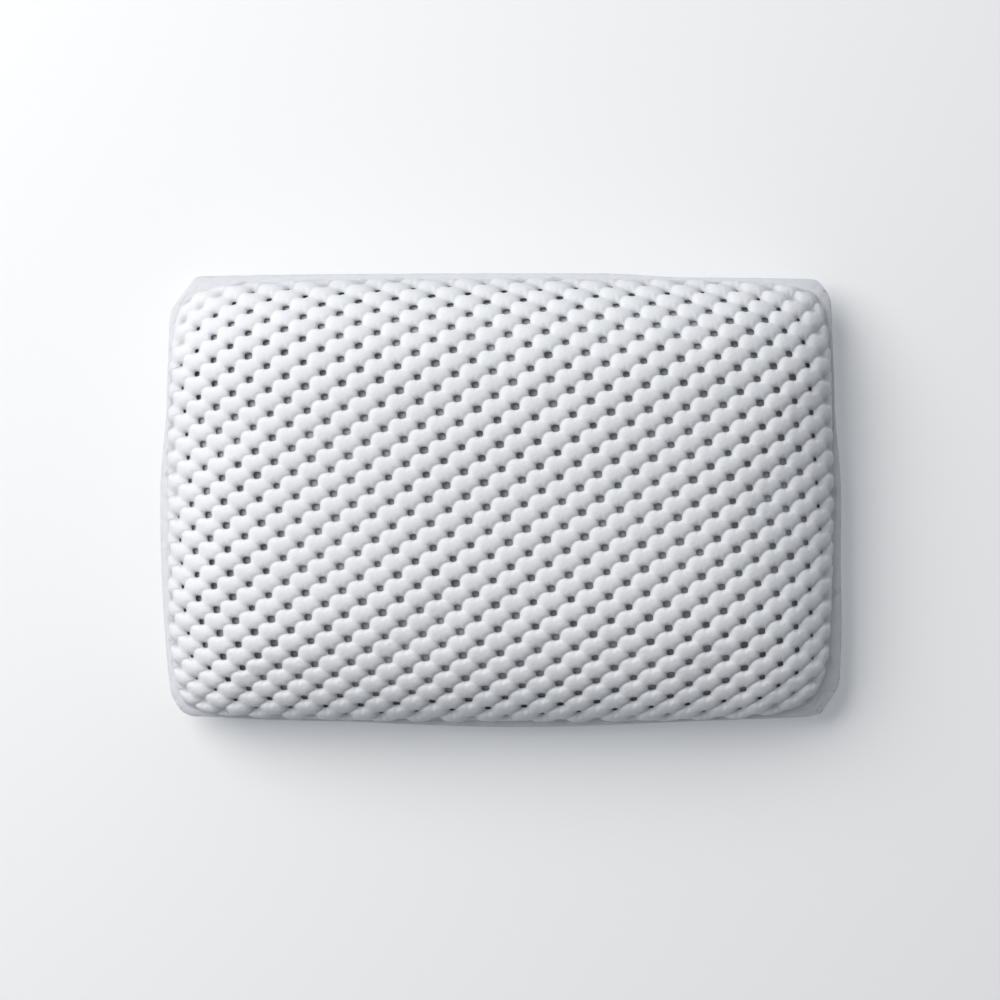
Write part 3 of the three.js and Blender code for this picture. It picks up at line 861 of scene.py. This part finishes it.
def trim_to_cloth(mesh, cloth, middle):
    """Cuts the flat sheet to the cloth's outline and closes its edge."""
    with edited(mesh) as bm:
        joined(bm, JOIN_DISTANCE)
        for way, reach in cloth.planes():
            near = [v for v in bm.verts if v.co.x * way[0] + v.co.y * way[1] > reach - TRIM_REACH]
            edges = {e for v in near for e in v.link_edges}
            faces = {f for v in near for f in v.link_faces}
            bmesh.ops.bisect_plane(
                bm, geom=near + list(edges) + list(faces), dist=JOIN_DISTANCE / 10,
                plane_co=(way[0] * reach, way[1] * reach, 0), plane_no=(*way, 0), clear_outer=True,
            )
        bmesh.ops.delete(bm, geom=[e for e in bm.edges if not e.link_faces], context="EDGES")
        bmesh.ops.delete(bm, geom=[v for v in bm.verts if not v.link_faces], context="VERTS")
        rim = {v for e in bm.edges if e.is_boundary for v in e.verts}
        turned_rim = sorted(((math.atan2(v.co.y, v.co.x), v) for v in rim), key=lambda r: r[0])
        upper = [(turn, v) for turn, v in turned_rim if v.co.z > middle]
        lower = [(turn, v) for turn, v in turned_rim if v.co.z <= middle]
        zipped(bm, upper, lower)


def spread_about_one(spread, i, j, seed):
    """1 and up to a spread more or less, by chance."""
    return 1 - spread + 2 * spread * chance(i, j, seed)


def gathered(mesh, settings, cloth, columns, rows):
    """Turns the flat sheet on the cloth, closes its holes down the walls and lowers its puffs at the weld."""
    layer = cloth.layer
    flat = points_of(mesh)
    spots = laid_out(settings, flat, columns, rows)
    hole = spots.place(spots.hole_x, spots.hole_y)
    hole_height = layer.front(*cloth.plan(*hole.T)) - layer.foot
    open_share = smoothstep(*HOLE_FADE, hole_height)
    size = open_share * spread_about_one(HOLE_SPREAD, spots.hole_s, spots.hole_t, HOLE_SEED)
    size = np.where(size < SMALLEST_HOLE, 0, size)
    dx, dy = spots.x - spots.hole_x, spots.y - spots.hole_y
    u, v = dx / settings.hole_half[0], dy / settings.hole_half[1]
    near = np.abs(u) ** HOLE_SQUARENESS + np.abs(v) ** HOLE_SQUARENESS < HOLE_MARGIN
    away = np.hypot(u, v) * np.where(near, size, 1)
    # Mask of each closed hole: it sinks the puffs into a pit here, and the material paints shade round the
    # hole from it.
    pit_and_painted_shade = (1 - open_share) * smoothstep(*PIT_FADE, hole_height) * np.exp(-(away**2) / PIT_WIDTH)
    stored(mesh, "pit_and_painted_shade", pit_and_painted_shade)
    x = np.where(near, spots.hole_x + dx * size, spots.x)
    y = np.where(near, spots.hole_y + dy * size, spots.y)
    place = spots.place(x, y)
    x, y, out = cloth.fitted(*place.T)
    raised = layer.front(x, y) - layer.foot
    full = WELDED_SHARE + (1 - WELDED_SHARE) * smoothstep(*PUFF_FADE, raised - out)
    uneven = spread_about_one(PUFF_SPREAD, spots.puff_s, spots.puff_t, PUFF_SEED)
    full = full * uneven * (1 - PIT_DEPTH * pit_and_painted_shade)
    height = np.where(flat[:, 2] > 0, flat[:, 2] * full, flat[:, 2] - WELD_SINK * (out > 0))
    rebuilt(mesh, np.column_stack([place, height]))


def foam_cover(settings, finish):
    """The puffed mesh face with its welded edge."""
    inset = settings.sunk
    layer = Cushion(inset, FRONT_RISE - inset, 0, SEAM + WELD_THICKNESS)
    cloth = Cloth(layer)
    material = foam_mesh_material(finish)
    mesh, columns, rows = flat_foam_mesh(settings, material, cloth.half_p, cloth.half_q)
    gathered(mesh, settings, cloth, columns, rows)
    trim_to_cloth(mesh, cloth, -settings.web / 2)

    p, q, height = points_of(mesh).T
    lie = cloth.eased(FOLD_EASE)
    base = lie(p, q)
    normal = facing(lie, p, q, FACING_STEP)
    raised = base[:, 2] - layer.foot
    swell = cloth_swell(cloth, p, q) + unevenness(p, q) * SWELL_HEIGHT * smoothstep(*SWELL_FADE, raised)
    rebuilt(mesh, base + normal * (height + swell)[:, None])
    # Painted shade: how far a point lies below a puff's top, which greys it in the material.
    stored(mesh, "crease", np.clip(1 - height / settings.puff_height, 0, 1))
    piece = placed("foam_mesh_cover", mesh)
    tidy_mesh(piece, LAST_JOIN_DISTANCE)
    dressed(piece, material, "pillow", "foam_mesh", "front_cover")
    return piece


# The cloth simulation of the face: pressed from inside, held at the weld, and its own slow form taken out
CLOTH_STEP = 5 * MM
CLOTH_FRAMES = 20
CLOTH_CAP = 1.2 * MM
CLOTH_SINK = 0.25 * MM
CLOTH_EASE = 2 * MM
CLOTH_START = 3 * MM
CLOTH_FREE = (2 * MM, 12 * MM)
CLOTH_HELD_SHARE = 0.02
CLOTH_FINE, CLOTH_SPREAD = 3, 30  # rounds of evening out
GRID_END = 1.001
CLOTH_SETTINGS = {
    "quality": 6,
    "mass": 0.3,
    "tension_stiffness": 12,
    "compression_stiffness": 12,
    "bending_stiffness": 1.5,
    "shrink_min": -0.035,
    "use_pressure": True,
    "uniform_pressure_force": 4.0,
    "vertex_group_mass": "weld",
}


def cloth_swell(cloth, p, q):
    """How far the mesh face swells in and out once its filling presses on it, from a cloth simulation."""
    counts = [2 * math.ceil(half / CLOTH_STEP) + 1 for half in (cloth.half_p, cloth.half_q)]
    line_p = np.linspace(-cloth.half_p, cloth.half_p, counts[0])
    line_q = np.linspace(-cloth.half_q, cloth.half_q, counts[1])
    grid_p, grid_q = np.meshgrid(line_p, line_q, indexing="ij")
    lie = cloth.eased(CLOTH_EASE)
    rest = lie(grid_p, grid_q)
    normal = facing(lie, grid_p, grid_q, CLOTH_EASE)
    free = smoothstep(*CLOTH_FREE, rest[..., 2] - cloth.layer.foot)
    start = rest - normal * (CLOTH_START * free)[..., None]
    piece = new_object("cloth_face", start.reshape(-1, 3), grid_faces(*counts))
    held = piece.vertex_groups.new(name="weld")
    held.add([int(k) for k in np.flatnonzero(free.ravel() < CLOTH_HELD_SHARE)], 1.0, "REPLACE")
    press = piece.modifiers.new("cloth", "CLOTH")
    for name, value in CLOTH_SETTINGS.items():
        setattr(press.settings, name, value)
    press.settings.effector_weights.gravity = 0
    press.collision_settings.use_collision = False
    press.point_cache.frame_start, press.point_cache.frame_end = 1, CLOTH_FRAMES
    for frame_number in range(1, CLOTH_FRAMES + 1):
        bpy.context.scene.frame_set(frame_number)
    graph = bpy.context.evaluated_depsgraph_get()
    settled = points_of(piece.evaluated_get(graph).data).reshape(rest.shape)
    bpy.context.scene.frame_set(1)
    piece.modifiers.remove(press)
    bpy.data.objects.remove(piece)
    moved = ((settled - start) * normal).sum(-1)
    uneven = (spread_out(moved, CLOTH_FINE) - spread_out(moved, CLOTH_SPREAD)) * free
    most = np.where(uneven > 0, CLOTH_CAP, CLOTH_SINK)
    return sampled(most * np.tanh(uneven / most), line_p, line_q, p, q)


def spread_out(values, rounds):
    """A grid of values, each evened out with its neighbours a number of times."""
    for _ in range(rounds):
        wide = np.pad(values, 1, mode="edge")
        values = (wide[:-2, 1:-1] + wide[2:, 1:-1] + wide[1:-1, :-2] + wide[1:-1, 2:] + 2 * values) / 6
    return values


def sampled(values, line_p, line_q, p, q):
    """Smooth values between the points of a grid."""
    cells = []
    for line, place in ((line_p, p), (line_q, q)):
        along = np.clip((place - line[0]) / (line[1] - line[0]), 0, len(line) - GRID_END)
        cell = along.astype(int)
        cells += [cell, smoothstep(0, 1, along - cell)]
    i, s, j, t = cells
    near = values[i, j] * (1 - t) + values[i, j + 1] * t
    far = values[i + 1, j] * (1 - t) + values[i + 1, j + 1] * t
    return near * (1 - s) + far * s


def tidy_mesh(piece, distance):
    """Joins points that came together, drops what is loose and smooths the rest."""
    with edited(piece.data) as bm:
        joined(bm, distance)
        bmesh.ops.delete(bm, geom=[v for v in bm.verts if not v.link_faces], context="VERTS")
        for f in bm.faces:
            f.smooth = True


# Shells, foam and bag

GRID_BLEND_POWER = 6
SHELL_STEPS = (97, 73)
CLOSER = 0.5 * MM
FILLING_CLEARANCE = 0.3 * MM
BAG_WALL = 0.6 * MM
BAG_DENT_EASE = 2.5 * MM
FOAM_DENT_EASE = 3 * MM
FOAM_JOIN_DISTANCE = 0.02 * MM
EYELET_HOLE = 4.3 * MM
HOLE_BELOW, HOLE_ABOVE = 2 * MM, 3 * MM
CUTTER_STEPS = 64


def plan_grid(reach):
    """A grid of points in plan whose edge runs along an outline, closer together at the edge."""
    s, t = (np.sin(np.linspace(-math.pi / 2, math.pi / 2, steps)) for steps in SHELL_STEPS)
    half_x, half_y = float(reach(0.0)), float(reach(math.pi / 2))
    s, t = np.meshgrid(s, t, indexing="ij")
    x, y = s * half_x, t * half_y
    turn = np.arctan2(y, x)
    square = np.minimum(
        half_x / np.maximum(np.abs(np.cos(turn)), TINY), half_y / np.maximum(np.abs(np.sin(turn)), TINY)
    )
    blend = np.maximum(np.abs(s), np.abs(t)) ** GRID_BLEND_POWER
    scale = 1 + (reach(turn) / square - 1) * blend
    return x * scale, y * scale


def surface_over(plan, height):
    """Points over a plan grid."""
    return np.stack([*plan, height(*plan)], axis=-1)


def middle_and_radius(node_name):
    """The middle in plan and the radius of a round frame node, from its size along the pillow."""
    low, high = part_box(node_name)
    return ((low[0] + high[0]) / 2, (low[1] + high[1]) / 2), (high[0] - low[0]) / 2


def cup_middles():
    """The middle of each suction cup in plan, from its eyelet."""
    return {place: middle_and_radius(f"eyelet_{place}")[0] for place in PLACES}


def dented(points, radius, ease, level):
    """Lifts the points over each cup's head to a level, with a soft edge."""
    lifted = points.copy()
    for x, y in cup_middles().values():
        away = np.hypot(points[..., 0] - x, points[..., 1] - y)
        share = 1 - smoothstep(radius, radius + ease, away)
        lifted[..., 2] += np.maximum(0, level - lifted[..., 2]) * share
    return lifted


def cut_round_holes(piece, radius, low, high):
    """Cuts a round hole for each eyelet's barrel."""
    for x, y in cup_middles().values():
        bpy.ops.mesh.primitive_cylinder_add(
            vertices=CUTTER_STEPS, radius=radius, depth=high - low, location=(x, y, (low + high) / 2)
        )
        combined(piece, bpy.context.object, "DIFFERENCE")


def back_sheet(finish):
    """The smooth sheet behind, with a hole for each eyelet."""
    outer = Cushion(0, 0, BACK_DROP, PANEL_BRIM)
    inner = Cushion(PANEL_THICKNESS, 0, BACK_DROP - PANEL_THICKNESS, PANEL_BRIM)

    def underside(x, y):
        return np.minimum(outer.back(x, y), PANEL_BRIM - PANEL_THICKNESS) - rim_lean(x, y)

    def topside(x, y):
        return inner.back(x, y) - rim_lean(x, y)

    plan = plan_grid(weld_reach)
    piece = closed_shell("back_sheet", surface_over(plan, topside), surface_over(plan, underside))
    cut_round_holes(piece, EYELET_HOLE, PANEL_LOW[2] - HOLE_BELOW, PANEL_LOW[2] + HOLE_ABOVE)
    material = plain_grained(
        "back_sheet", tuple(finish.sheet_white), dark_share=0.93, roughness=0.42,
        fine=1500.0, coarse=120.0, strength=0.4, distance=0.12 * MM,
    )
    dressed(piece, material, "pillow", "back_sheet", "back_panel")
    return piece


def filling(finish):
    """The foam block and the two halves of the bag round it."""
    clear, wall = FILLING_CLEARANCE, BAG_WALL
    low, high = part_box("liner_front")
    inset = HALF_LENGTH - WELD_WIDTH - (high[0] - low[0]) / 2 - CLOSER
    head_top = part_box(f"suction_cup_{PLACES[0]}")[1][2]
    dent = middle_and_radius(f"eyelet_washer_{PLACES[0]}")[1] + clear
    back_low, back_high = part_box("liner_back")
    rise, drop = high[2] - SEAM + CLOSER, back_high[2] - back_low[2]
    outer = Cushion(inset, rise, drop, SEAM)
    inner = Cushion(inset + wall, rise - wall, drop - wall, SEAM)
    outer_plan, inner_plan = plan_grid(outer.reach), plan_grid(inner.reach)
    front = closed_shell(
        "liner_bag_front", surface_over(outer_plan, outer.front), surface_over(inner_plan, inner.front)
    )
    outer.foot = inner.foot = back_high[2]
    lower = dented(surface_over(outer_plan, outer.back), dent, BAG_DENT_EASE, head_top + clear)
    upper = dented(surface_over(inner_plan, inner.back), dent, BAG_DENT_EASE, head_top + clear + wall)
    back = closed_shell("liner_bag_back", upper, lower)
    cloth = plain_grained(
        "liner_cloth", tuple(finish.liner_grey), dark_share=0.75, roughness=0.9,
        fine=900.0, coarse=240.0, strength=0.6, distance=0.2 * MM,
    )
    dressed(front, cloth, "pillow", "liner", "liner_front")
    dressed(back, cloth, "pillow", "liner", "liner_back")

    low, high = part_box("foam_core")
    inset = HALF_LENGTH - WELD_WIDTH - (high[0] - low[0]) / 2
    middle = SEAM - clear / 2
    block = Cushion(inset, high[2] - middle, middle - low[2], middle)
    plan = plan_grid(block.reach)
    roof = head_top + 3 * clear + wall
    lower = dented(surface_over(plan, block.back), dent + wall + clear, FOAM_DENT_EASE, roof)
    foam = closed_shell("foam_block", surface_over(plan, block.front), lower)
    tidy_mesh(foam, FOAM_JOIN_DISTANCE)
    sponge = plain_grained(
        "cushion_foam", (0.72, 0.71, 0.64, 1.0), dark_share=0.8, roughness=0.95,
        fine=700.0, coarse=350.0, strength=1.0, distance=0.6 * MM,
    )
    dressed(foam, sponge, "pillow", "foam", "foam_core")


# Suction cups and eyelets

LATHE_STEPS = 72
CUP_CLEARANCE = 0.3 * MM
CUP_SEAL = 2.5 * MM
CUP_RIM = 1.2 * MM
CUP_HOLLOW = 3.6 * MM
CUP_NECK, CUP_HEAD, CUP_BOSS = 2.8 * MM, 5 * MM, 6 * MM
CUP_EDGE, CUP_ROUND = 0.35 * MM, 0.4 * MM
CUP_EDGE_FOOT = 0.3 * MM
CUP_LIP, CUP_LIP_RISE = 1.2 * MM, 0.08 * MM
NECK_FOOT, NECK_TOP, HEAD_STEP, HEAD_SIDE = 0.3 * MM, 0.1 * MM, 0.2 * MM, 0.8 * MM
BELL_SHARES = (0.46, 0.42)
HEAD_SHARE = 0.98
CUP_CRISP, EYELET_CRISP = 35, 40
TAB_HALF, TAB_LENGTH, TAB_ROOT = 4.5 * MM, 8 * MM, 2.6 * MM
TAB_LOW, TAB_HIGH, TAB_BEVEL = 0.3 * MM, 1.4 * MM, 0.25 * MM
TAB_STEPS = 18
EYELET_BORE, EYELET_BARREL = 3.2 * MM, 4.0 * MM
EYELET_SOFT = 0.25 * MM
FLANGE_HEIGHT, FLANGE_SIDE = 1.0 * MM, 0.7 * MM
FLANGE_SLOPE, FLANGE_TURN, FLANGE_STEP = 1.8 * MM, 0.2 * MM, 0.1 * MM
LIP_DROP, LIP_OUT, LIP_ROUND = 0.6 * MM, 0.7 * MM, 0.3 * MM
WASHER_CLEARANCE, WASHER_SOFT = 0.3 * MM, 0.15 * MM


def turned(name, profile, middle):
    """A lathe round a vertical axis from [radius, height] pairs, closed at the axis or on itself."""
    points, rings, faces = [], [], []
    for radius, height in profile:
        first = len(points)
        steps = LATHE_STEPS if radius > TINY else 1
        rings.append([first + k % steps for k in range(LATHE_STEPS)])
        for k in range(steps):
            angle = 2 * math.pi * k / LATHE_STEPS
            x, y = radius * math.cos(angle), radius * math.sin(angle)
            points.append((middle[0] + x, middle[1] + y, height))
    pairs = list(zip(rings, rings[1:]))
    if profile[0][0] > TINY:
        pairs.append((rings[-1], rings[0]))
    for first, second in pairs:
        for k in range(LATHE_STEPS):
            after = (k + 1) % LATHE_STEPS
            corners = (first[k], first[after], second[after], second[k])
            faces.append(tuple(dict.fromkeys(corners)))
    piece = new_object(name, points, faces)
    with edited(piece.data) as bm:
        bmesh.ops.recalc_face_normals(bm, faces=bm.faces)
    return piece


def arc(cx, cy, radius, start, end, steps=3):
    """Points on an arc of a profile, angles in degrees."""
    turns = [math.radians(start + (end - start) * k / steps) for k in range(steps + 1)]
    return [(cx + radius * math.cos(a), cy + radius * math.sin(a)) for a in turns]


def bend(start, control, end, steps):
    """A quadratic curve between two points of a profile, without its first point."""
    made = []
    for k in range(1, steps + 1):
        t = k / steps
        blend = ((1 - t) ** 2, 2 * t * (1 - t), t * t)
        made.append(tuple(sum(w * v[i] for w, v in zip(blend, (start, control, end))) for i in (0, 1)))
    return made


def suction_cup(place, middle, material):
    """A bell with its sealing rim, neck, mushroom head and release tab."""
    radius = middle_and_radius(f"suction_cup_{place}")[1]
    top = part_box(f"suction_cup_{place}")[1][2]
    eyelet_low, eyelet_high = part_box(f"eyelet_{place}")
    shoulder = eyelet_low[2] - CUP_CLEARANCE
    head_low = eyelet_high[2] + CUP_CLEARANCE
    seal = radius - CUP_SEAL
    profile = [(0, CUP_HOLLOW)]
    profile += bend((0, CUP_HOLLOW), (seal / 2, CUP_HOLLOW), (seal, 0), 12)
    profile += [(radius - CUP_EDGE_FOOT, 0)]
    profile += arc(radius - CUP_EDGE, CUP_EDGE, CUP_EDGE, -60, 0)
    profile += arc(radius - CUP_EDGE, CUP_RIM - CUP_EDGE, CUP_EDGE, 0, 80)
    start = (radius - CUP_LIP, CUP_RIM + CUP_LIP_RISE)
    hollow_of_bell = (radius * BELL_SHARES[0], shoulder * BELL_SHARES[1])
    profile += [start]
    profile += bend(start, hollow_of_bell, (CUP_BOSS, shoulder - CUP_ROUND), 12)
    profile += arc(CUP_BOSS - CUP_ROUND, shoulder - CUP_ROUND, CUP_ROUND, 10, 90)
    profile += [(CUP_NECK + CUP_ROUND, shoulder), (CUP_NECK, shoulder + NECK_FOOT)]
    profile += [(CUP_NECK, head_low - NECK_TOP), (CUP_NECK + HEAD_STEP, head_low)]
    profile += [(CUP_HEAD - CUP_ROUND, head_low)]
    profile += arc(CUP_HEAD - CUP_ROUND, head_low + CUP_ROUND, CUP_ROUND, -70, 0)
    profile += bend((CUP_HEAD, head_low + HEAD_SIDE), (CUP_HEAD * HEAD_SHARE, top), (0, top), 8)
    cup = turned(f"suction_cup_{place}_vinyl", profile, middle)
    combined(cup, release_tab(middle, radius), "UNION")
    cup.data.polygons.foreach_set("use_smooth", [True] * len(cup.data.polygons))
    smooth_by_angle(cup, CUP_CRISP)
    dressed(cup, material, f"cup_{place}", "cup", f"suction_cup_{place}")


def smooth_by_angle(piece, degrees):
    """Keeps edges sharper than an angle crisp under smooth shading."""
    with edited(piece.data) as bm:
        for edge in bm.edges:
            if len(edge.link_faces) == 2:
                edge.smooth = edge.calc_face_angle(0) < math.radians(degrees)


def release_tab(middle, radius):
    """The plain tongue on a cup's rim, on the side away from the pillow's middle."""
    start, turn = radius - TAB_ROOT, radius + TAB_LENGTH - TAB_HALF
    outline = [(-TAB_HALF, start), (TAB_HALF, start)]
    outline += arc(0, turn, TAB_HALF, 0, 180, TAB_STEPS)
    if middle[1] <= 0:
        outline = [(x, -y) for x, y in reversed(outline)]
    count = len(outline)
    points = [(middle[0] + x, middle[1] + y, z) for z in (TAB_LOW, TAB_HIGH) for x, y in outline]
    faces = [tuple(reversed(range(count))), tuple(range(count, 2 * count))]
    faces += [(k, (k + 1) % count, (k + 1) % count + count, k + count) for k in range(count)]
    tab = new_object("release_tab", points, faces)
    bevel = tab.modifiers.new("edge", "BEVEL")
    bevel.width = TAB_BEVEL
    bevel.segments = 2
    return tab


def moulded(name, profile, middle, material):
    """A turned eyelet part, named after its frame node."""
    ring = turned(f"{name}_moulded", profile, middle)
    smooth_by_angle(ring, EYELET_CRISP)
    dressed(ring, material, "pillow", "eyelet", name)


def eyelets():
    """Each eyelet: flanged barrel with a rolled lip, and the washer inside the sheet."""
    material = plain_grained(
        "moulded_white", (0.83, 0.84, 0.84, 1.0), dark_share=0.95, roughness=0.34,
        fine=1200.0, coarse=200.0, strength=0.2, distance=0.05 * MM,
    )
    bore, barrel, soft = EYELET_BORE, EYELET_BARREL, EYELET_SOFT
    for place in PLACES:
        name = f"eyelet_{place}"
        middle, flange = middle_and_radius(name)
        base, top = (corner[2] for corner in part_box(name))
        lip = top - LIP_DROP
        slope = flange - FLANGE_SLOPE
        profile = [(bore, base + soft), (bore + soft, base), (slope, base)]
        profile += bend((slope, base), (flange - FLANGE_TURN, base), (flange, base + FLANGE_SIDE), 6)
        profile += [(flange - FLANGE_STEP, base + FLANGE_HEIGHT), (barrel, base + FLANGE_HEIGHT)]
        profile += [(barrel, lip)]
        profile += arc(barrel + LIP_OUT, lip + LIP_ROUND, LIP_ROUND, -90, 90, 8)
        profile += [(bore + soft, top), (bore, top - soft)]
        moulded(name, profile, middle, material)
        name = f"eyelet_washer_{place}"
        inner, outer = barrel + WASHER_CLEARANCE, middle_and_radius(name)[1]
        base, top = (corner[2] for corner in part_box(name))
        profile = [(inner, base), (outer - WASHER_SOFT, base), (outer, base + WASHER_SOFT)]
        profile += [(outer, top - WASHER_SOFT), (outer - WASHER_SOFT, top)]
        profile += [(inner + WASHER_SOFT, top), (inner, top - WASHER_SOFT)]
        moulded(name, profile, middle, material)


# Stage

FLOOR_HALF = 3
KEY_PLACE = (-1.05, 0.75, 1.3)
KEY_SIZE = 1.7
KEY_COLOUR = (1.0, 0.985, 0.962)
SKY_WAY = (-0.62, 0.76, 0.05)
SKY_BRIGHT = 1.45
SKY_SEEN = 0.85
GROUND_BRIGHT = 2.4


def key_light(target, power):
    """A round soft light from the upper left, turned to a point."""
    lamp = bpy.data.lights.new("key", "AREA")
    lamp.shape = "DISK"
    lamp.size = KEY_SIZE
    lamp.energy = power
    lamp.color = KEY_COLOUR
    thing = placed("key", lamp)
    thing.location = KEY_PLACE
    thing.rotation_euler = (target - thing.location).to_track_quat("-Z", "Y").to_euler()


def floor_material():
    """A pale matt floor to look at from above, which lets the light from below through."""
    pale = bpy.data.materials.new("pale_floor")
    pale.use_nodes = True
    tree = pale.node_tree
    shader = tree.nodes["Principled BSDF"]
    shader.inputs["Base Color"].default_value = (0.96, 0.96, 0.96, 1)
    shader.inputs["Roughness"].default_value = 0.9
    shader.inputs["Specular IOR Level"].default_value = 0.2
    ray = node(tree, "ShaderNodeLightPath", -700, 200)
    side = node(tree, "ShaderNodeNewGeometry", -700, 500)
    shown = node(tree, "ShaderNodeMath", -300, 400, operation="SUBTRACT", use_clamp=True)
    clear = node(tree, "ShaderNodeBsdfTransparent", 0, -300)
    mix = node(tree, "ShaderNodeMixShader", 300, 300)
    wire(
        tree,
        (ray, "Is Camera Ray", shown, 0),
        (side, "Backfacing", shown, 1),
        (shown, "Value", mix, 0),
        (clear, "BSDF", mix, 1),
        (shader, "BSDF", mix, 2),
        (mix, "Shader", tree.nodes["Material Output"], "Surface"),
    )
    return pale


def surround(stage):
    """Light from all round: brightest from the upper left, even from below, and pale to look at."""
    world = bpy.data.worlds.new("surround")
    world.use_nodes = True
    tree = world.node_tree
    sky = tree.nodes["Background"]
    sky.inputs["Color"].default_value = (0.90, 0.94, 1.0, 1)
    place = node(tree, "ShaderNodeTexCoord", -1200, 0)
    slant = node(tree, "ShaderNodeVectorMath", -1000, 0, operation="DOT_PRODUCT")
    slant.inputs[1].default_value = Vector(SKY_WAY).normalized()
    bright = stage.sky * SKY_BRIGHT
    level = node(tree, "ShaderNodeMapRange", -800, 0, From_Min=-1.0, From_Max=0.3, To_Max=bright)
    split = node(tree, "ShaderNodeSeparateXYZ", -1000, -300)
    above = node(tree, "ShaderNodeMapRange", -800, -300, From_Min=-0.05, From_Max=0.05)
    below = node(
        tree, "ShaderNodeMapRange", -800, -600, From_Min=-1.0, From_Max=0.0,
        To_Min=stage.ground * GROUND_BRIGHT, To_Max=stage.ground,
    )
    shed = node(tree, "ShaderNodeMix", -500, 0, data_type="FLOAT")
    ray = node(tree, "ShaderNodeLightPath", -500, 300)
    strength = node(tree, "ShaderNodeMix", -250, 0, data_type="FLOAT", B=SKY_SEEN)
    wire(
        tree,
        (place, "Generated", slant, 0),
        (place, "Generated", split, 0),
        (slant, "Value", level, "Value"),
        (split, "Z", above, "Value"),
        (split, "Z", below, "Value"),
        (above, "Result", shed, "Factor"),
        (below, "Result", shed, "A"),
        (level, "Result", shed, "B"),
        (ray, "Is Camera Ray", strength, "Factor"),
        (shed, "Result", strength, "A"),
        (strength, "Result", sky, "Strength"),
    )
    return world


def build_stage(stage):
    """Pale floor, soft light from the upper left and a camera that looks down on the face."""
    scene = bpy.context.scene
    scene.view_settings.view_transform = "Standard"
    middle = Vector((0, 0, SEAM))
    corners = [(x * FLOOR_HALF, y * FLOOR_HALF, 0) for x, y in ((-1, -1), (1, -1), (1, 1), (-1, 1))]
    floor = new_object("floor", corners, [(0, 1, 2, 3)])
    floor.data.materials.append(floor_material())
    key_light(middle, stage.key)
    scene.world = surround(stage)
    lens = bpy.data.cameras.new("camera")
    lens.lens = stage.lens
    camera = placed("camera", lens)
    back = Vector((math.sin(stage.lean[0]), math.sin(stage.lean[1]), 1)).normalized()
    right = Vector((0, 1, 0)).cross(back).normalized()
    turn = Matrix((right, back.cross(right), back)).transposed()
    camera.matrix_world = Matrix.Translation(middle + back * stage.distance) @ turn.to_4x4()
    scene.camera = camera


class PILLOW_OT_foam_cover(bpy.types.Operator):
    """Make the puffed foam mesh face"""

    bl_idname = "pillow.foam_cover"
    bl_label = "Foam mesh cover"

    def execute(self, context):
        foam_cover(context.scene.pillow_mesh, context.scene.pillow_finish)
        return {"FINISHED"}


class PILLOW_OT_back_sheet(bpy.types.Operator):
    """Make the smooth sheet behind"""

    bl_idname = "pillow.back_sheet"
    bl_label = "Back sheet"

    def execute(self, context):
        back_sheet(context.scene.pillow_finish)
        return {"FINISHED"}


class PILLOW_OT_filling(bpy.types.Operator):
    """Make the foam and the bag round it"""

    bl_idname = "pillow.filling"
    bl_label = "Foam and liner"

    def execute(self, context):
        filling(context.scene.pillow_finish)
        return {"FINISHED"}


class PILLOW_OT_suction_cups(bpy.types.Operator):
    """Make the four suction cups"""

    bl_idname = "pillow.suction_cups"
    bl_label = "Suction cups"

    def execute(self, context):
        material = clear_vinyl()
        for place, middle in cup_middles().items():
            suction_cup(place, middle, material)
        return {"FINISHED"}


class PILLOW_OT_eyelets(bpy.types.Operator):
    """Make the eyelets and their washers"""

    bl_idname = "pillow.eyelets"
    bl_label = "Eyelets"

    def execute(self, context):
        eyelets()
        return {"FINISHED"}


class PILLOW_OT_stage(bpy.types.Operator):
    """Make the floor, the light and the camera"""

    bl_idname = "pillow.stage"
    bl_label = "Stage"

    def execute(self, context):
        build_stage(context.scene.pillow_stage)
        return {"FINISHED"}


class PILLOW_PT_panel(bpy.types.Panel):
    """Lists the pillow's pieces and sizes"""

    bl_label = "Bath Pillow"
    bl_idname = "PILLOW_PT_panel"
    bl_space_type = "VIEW_3D"
    bl_region_type = "UI"
    bl_category = "Bath Pillow"

    def draw(self, context):
        for operator in OPERATORS:
            self.layout.operator(operator.bl_idname)
        for group in SETTINGS:
            settings = getattr(context.scene, group)
            box = self.layout.box()
            for name in settings.bl_rna.properties.keys():
                if name not in ("rna_type", "name"):
                    box.prop(settings, name)


OPERATORS = (
    PILLOW_OT_stage,
    PILLOW_OT_filling,
    PILLOW_OT_back_sheet,
    PILLOW_OT_eyelets,
    PILLOW_OT_suction_cups,
    PILLOW_OT_foam_cover,
)
SETTINGS = {
    "pillow_mesh": PillowMeshSettings,
    "pillow_finish": PillowFinishSettings,
    "pillow_stage": PillowStageSettings,
}


def register():
    for cls in (*SETTINGS.values(), *OPERATORS, PILLOW_PT_panel):
        bpy.utils.register_class(cls)
    for name, cls in SETTINGS.items():
        setattr(bpy.types.Scene, name, bpy.props.PointerProperty(type=cls))


def unregister():
    for name in SETTINGS:
        delattr(bpy.types.Scene, name)
    for cls in (PILLOW_PT_panel, *reversed(OPERATORS), *SETTINGS.values()):
        bpy.utils.unregister_class(cls)


def main():
    """Makes the whole pillow."""
    register()
    for operator in OPERATORS:
        group, name = operator.bl_idname.split(".")
        getattr(getattr(bpy.ops, group), name)()


if __name__ == "__main__":
    main()
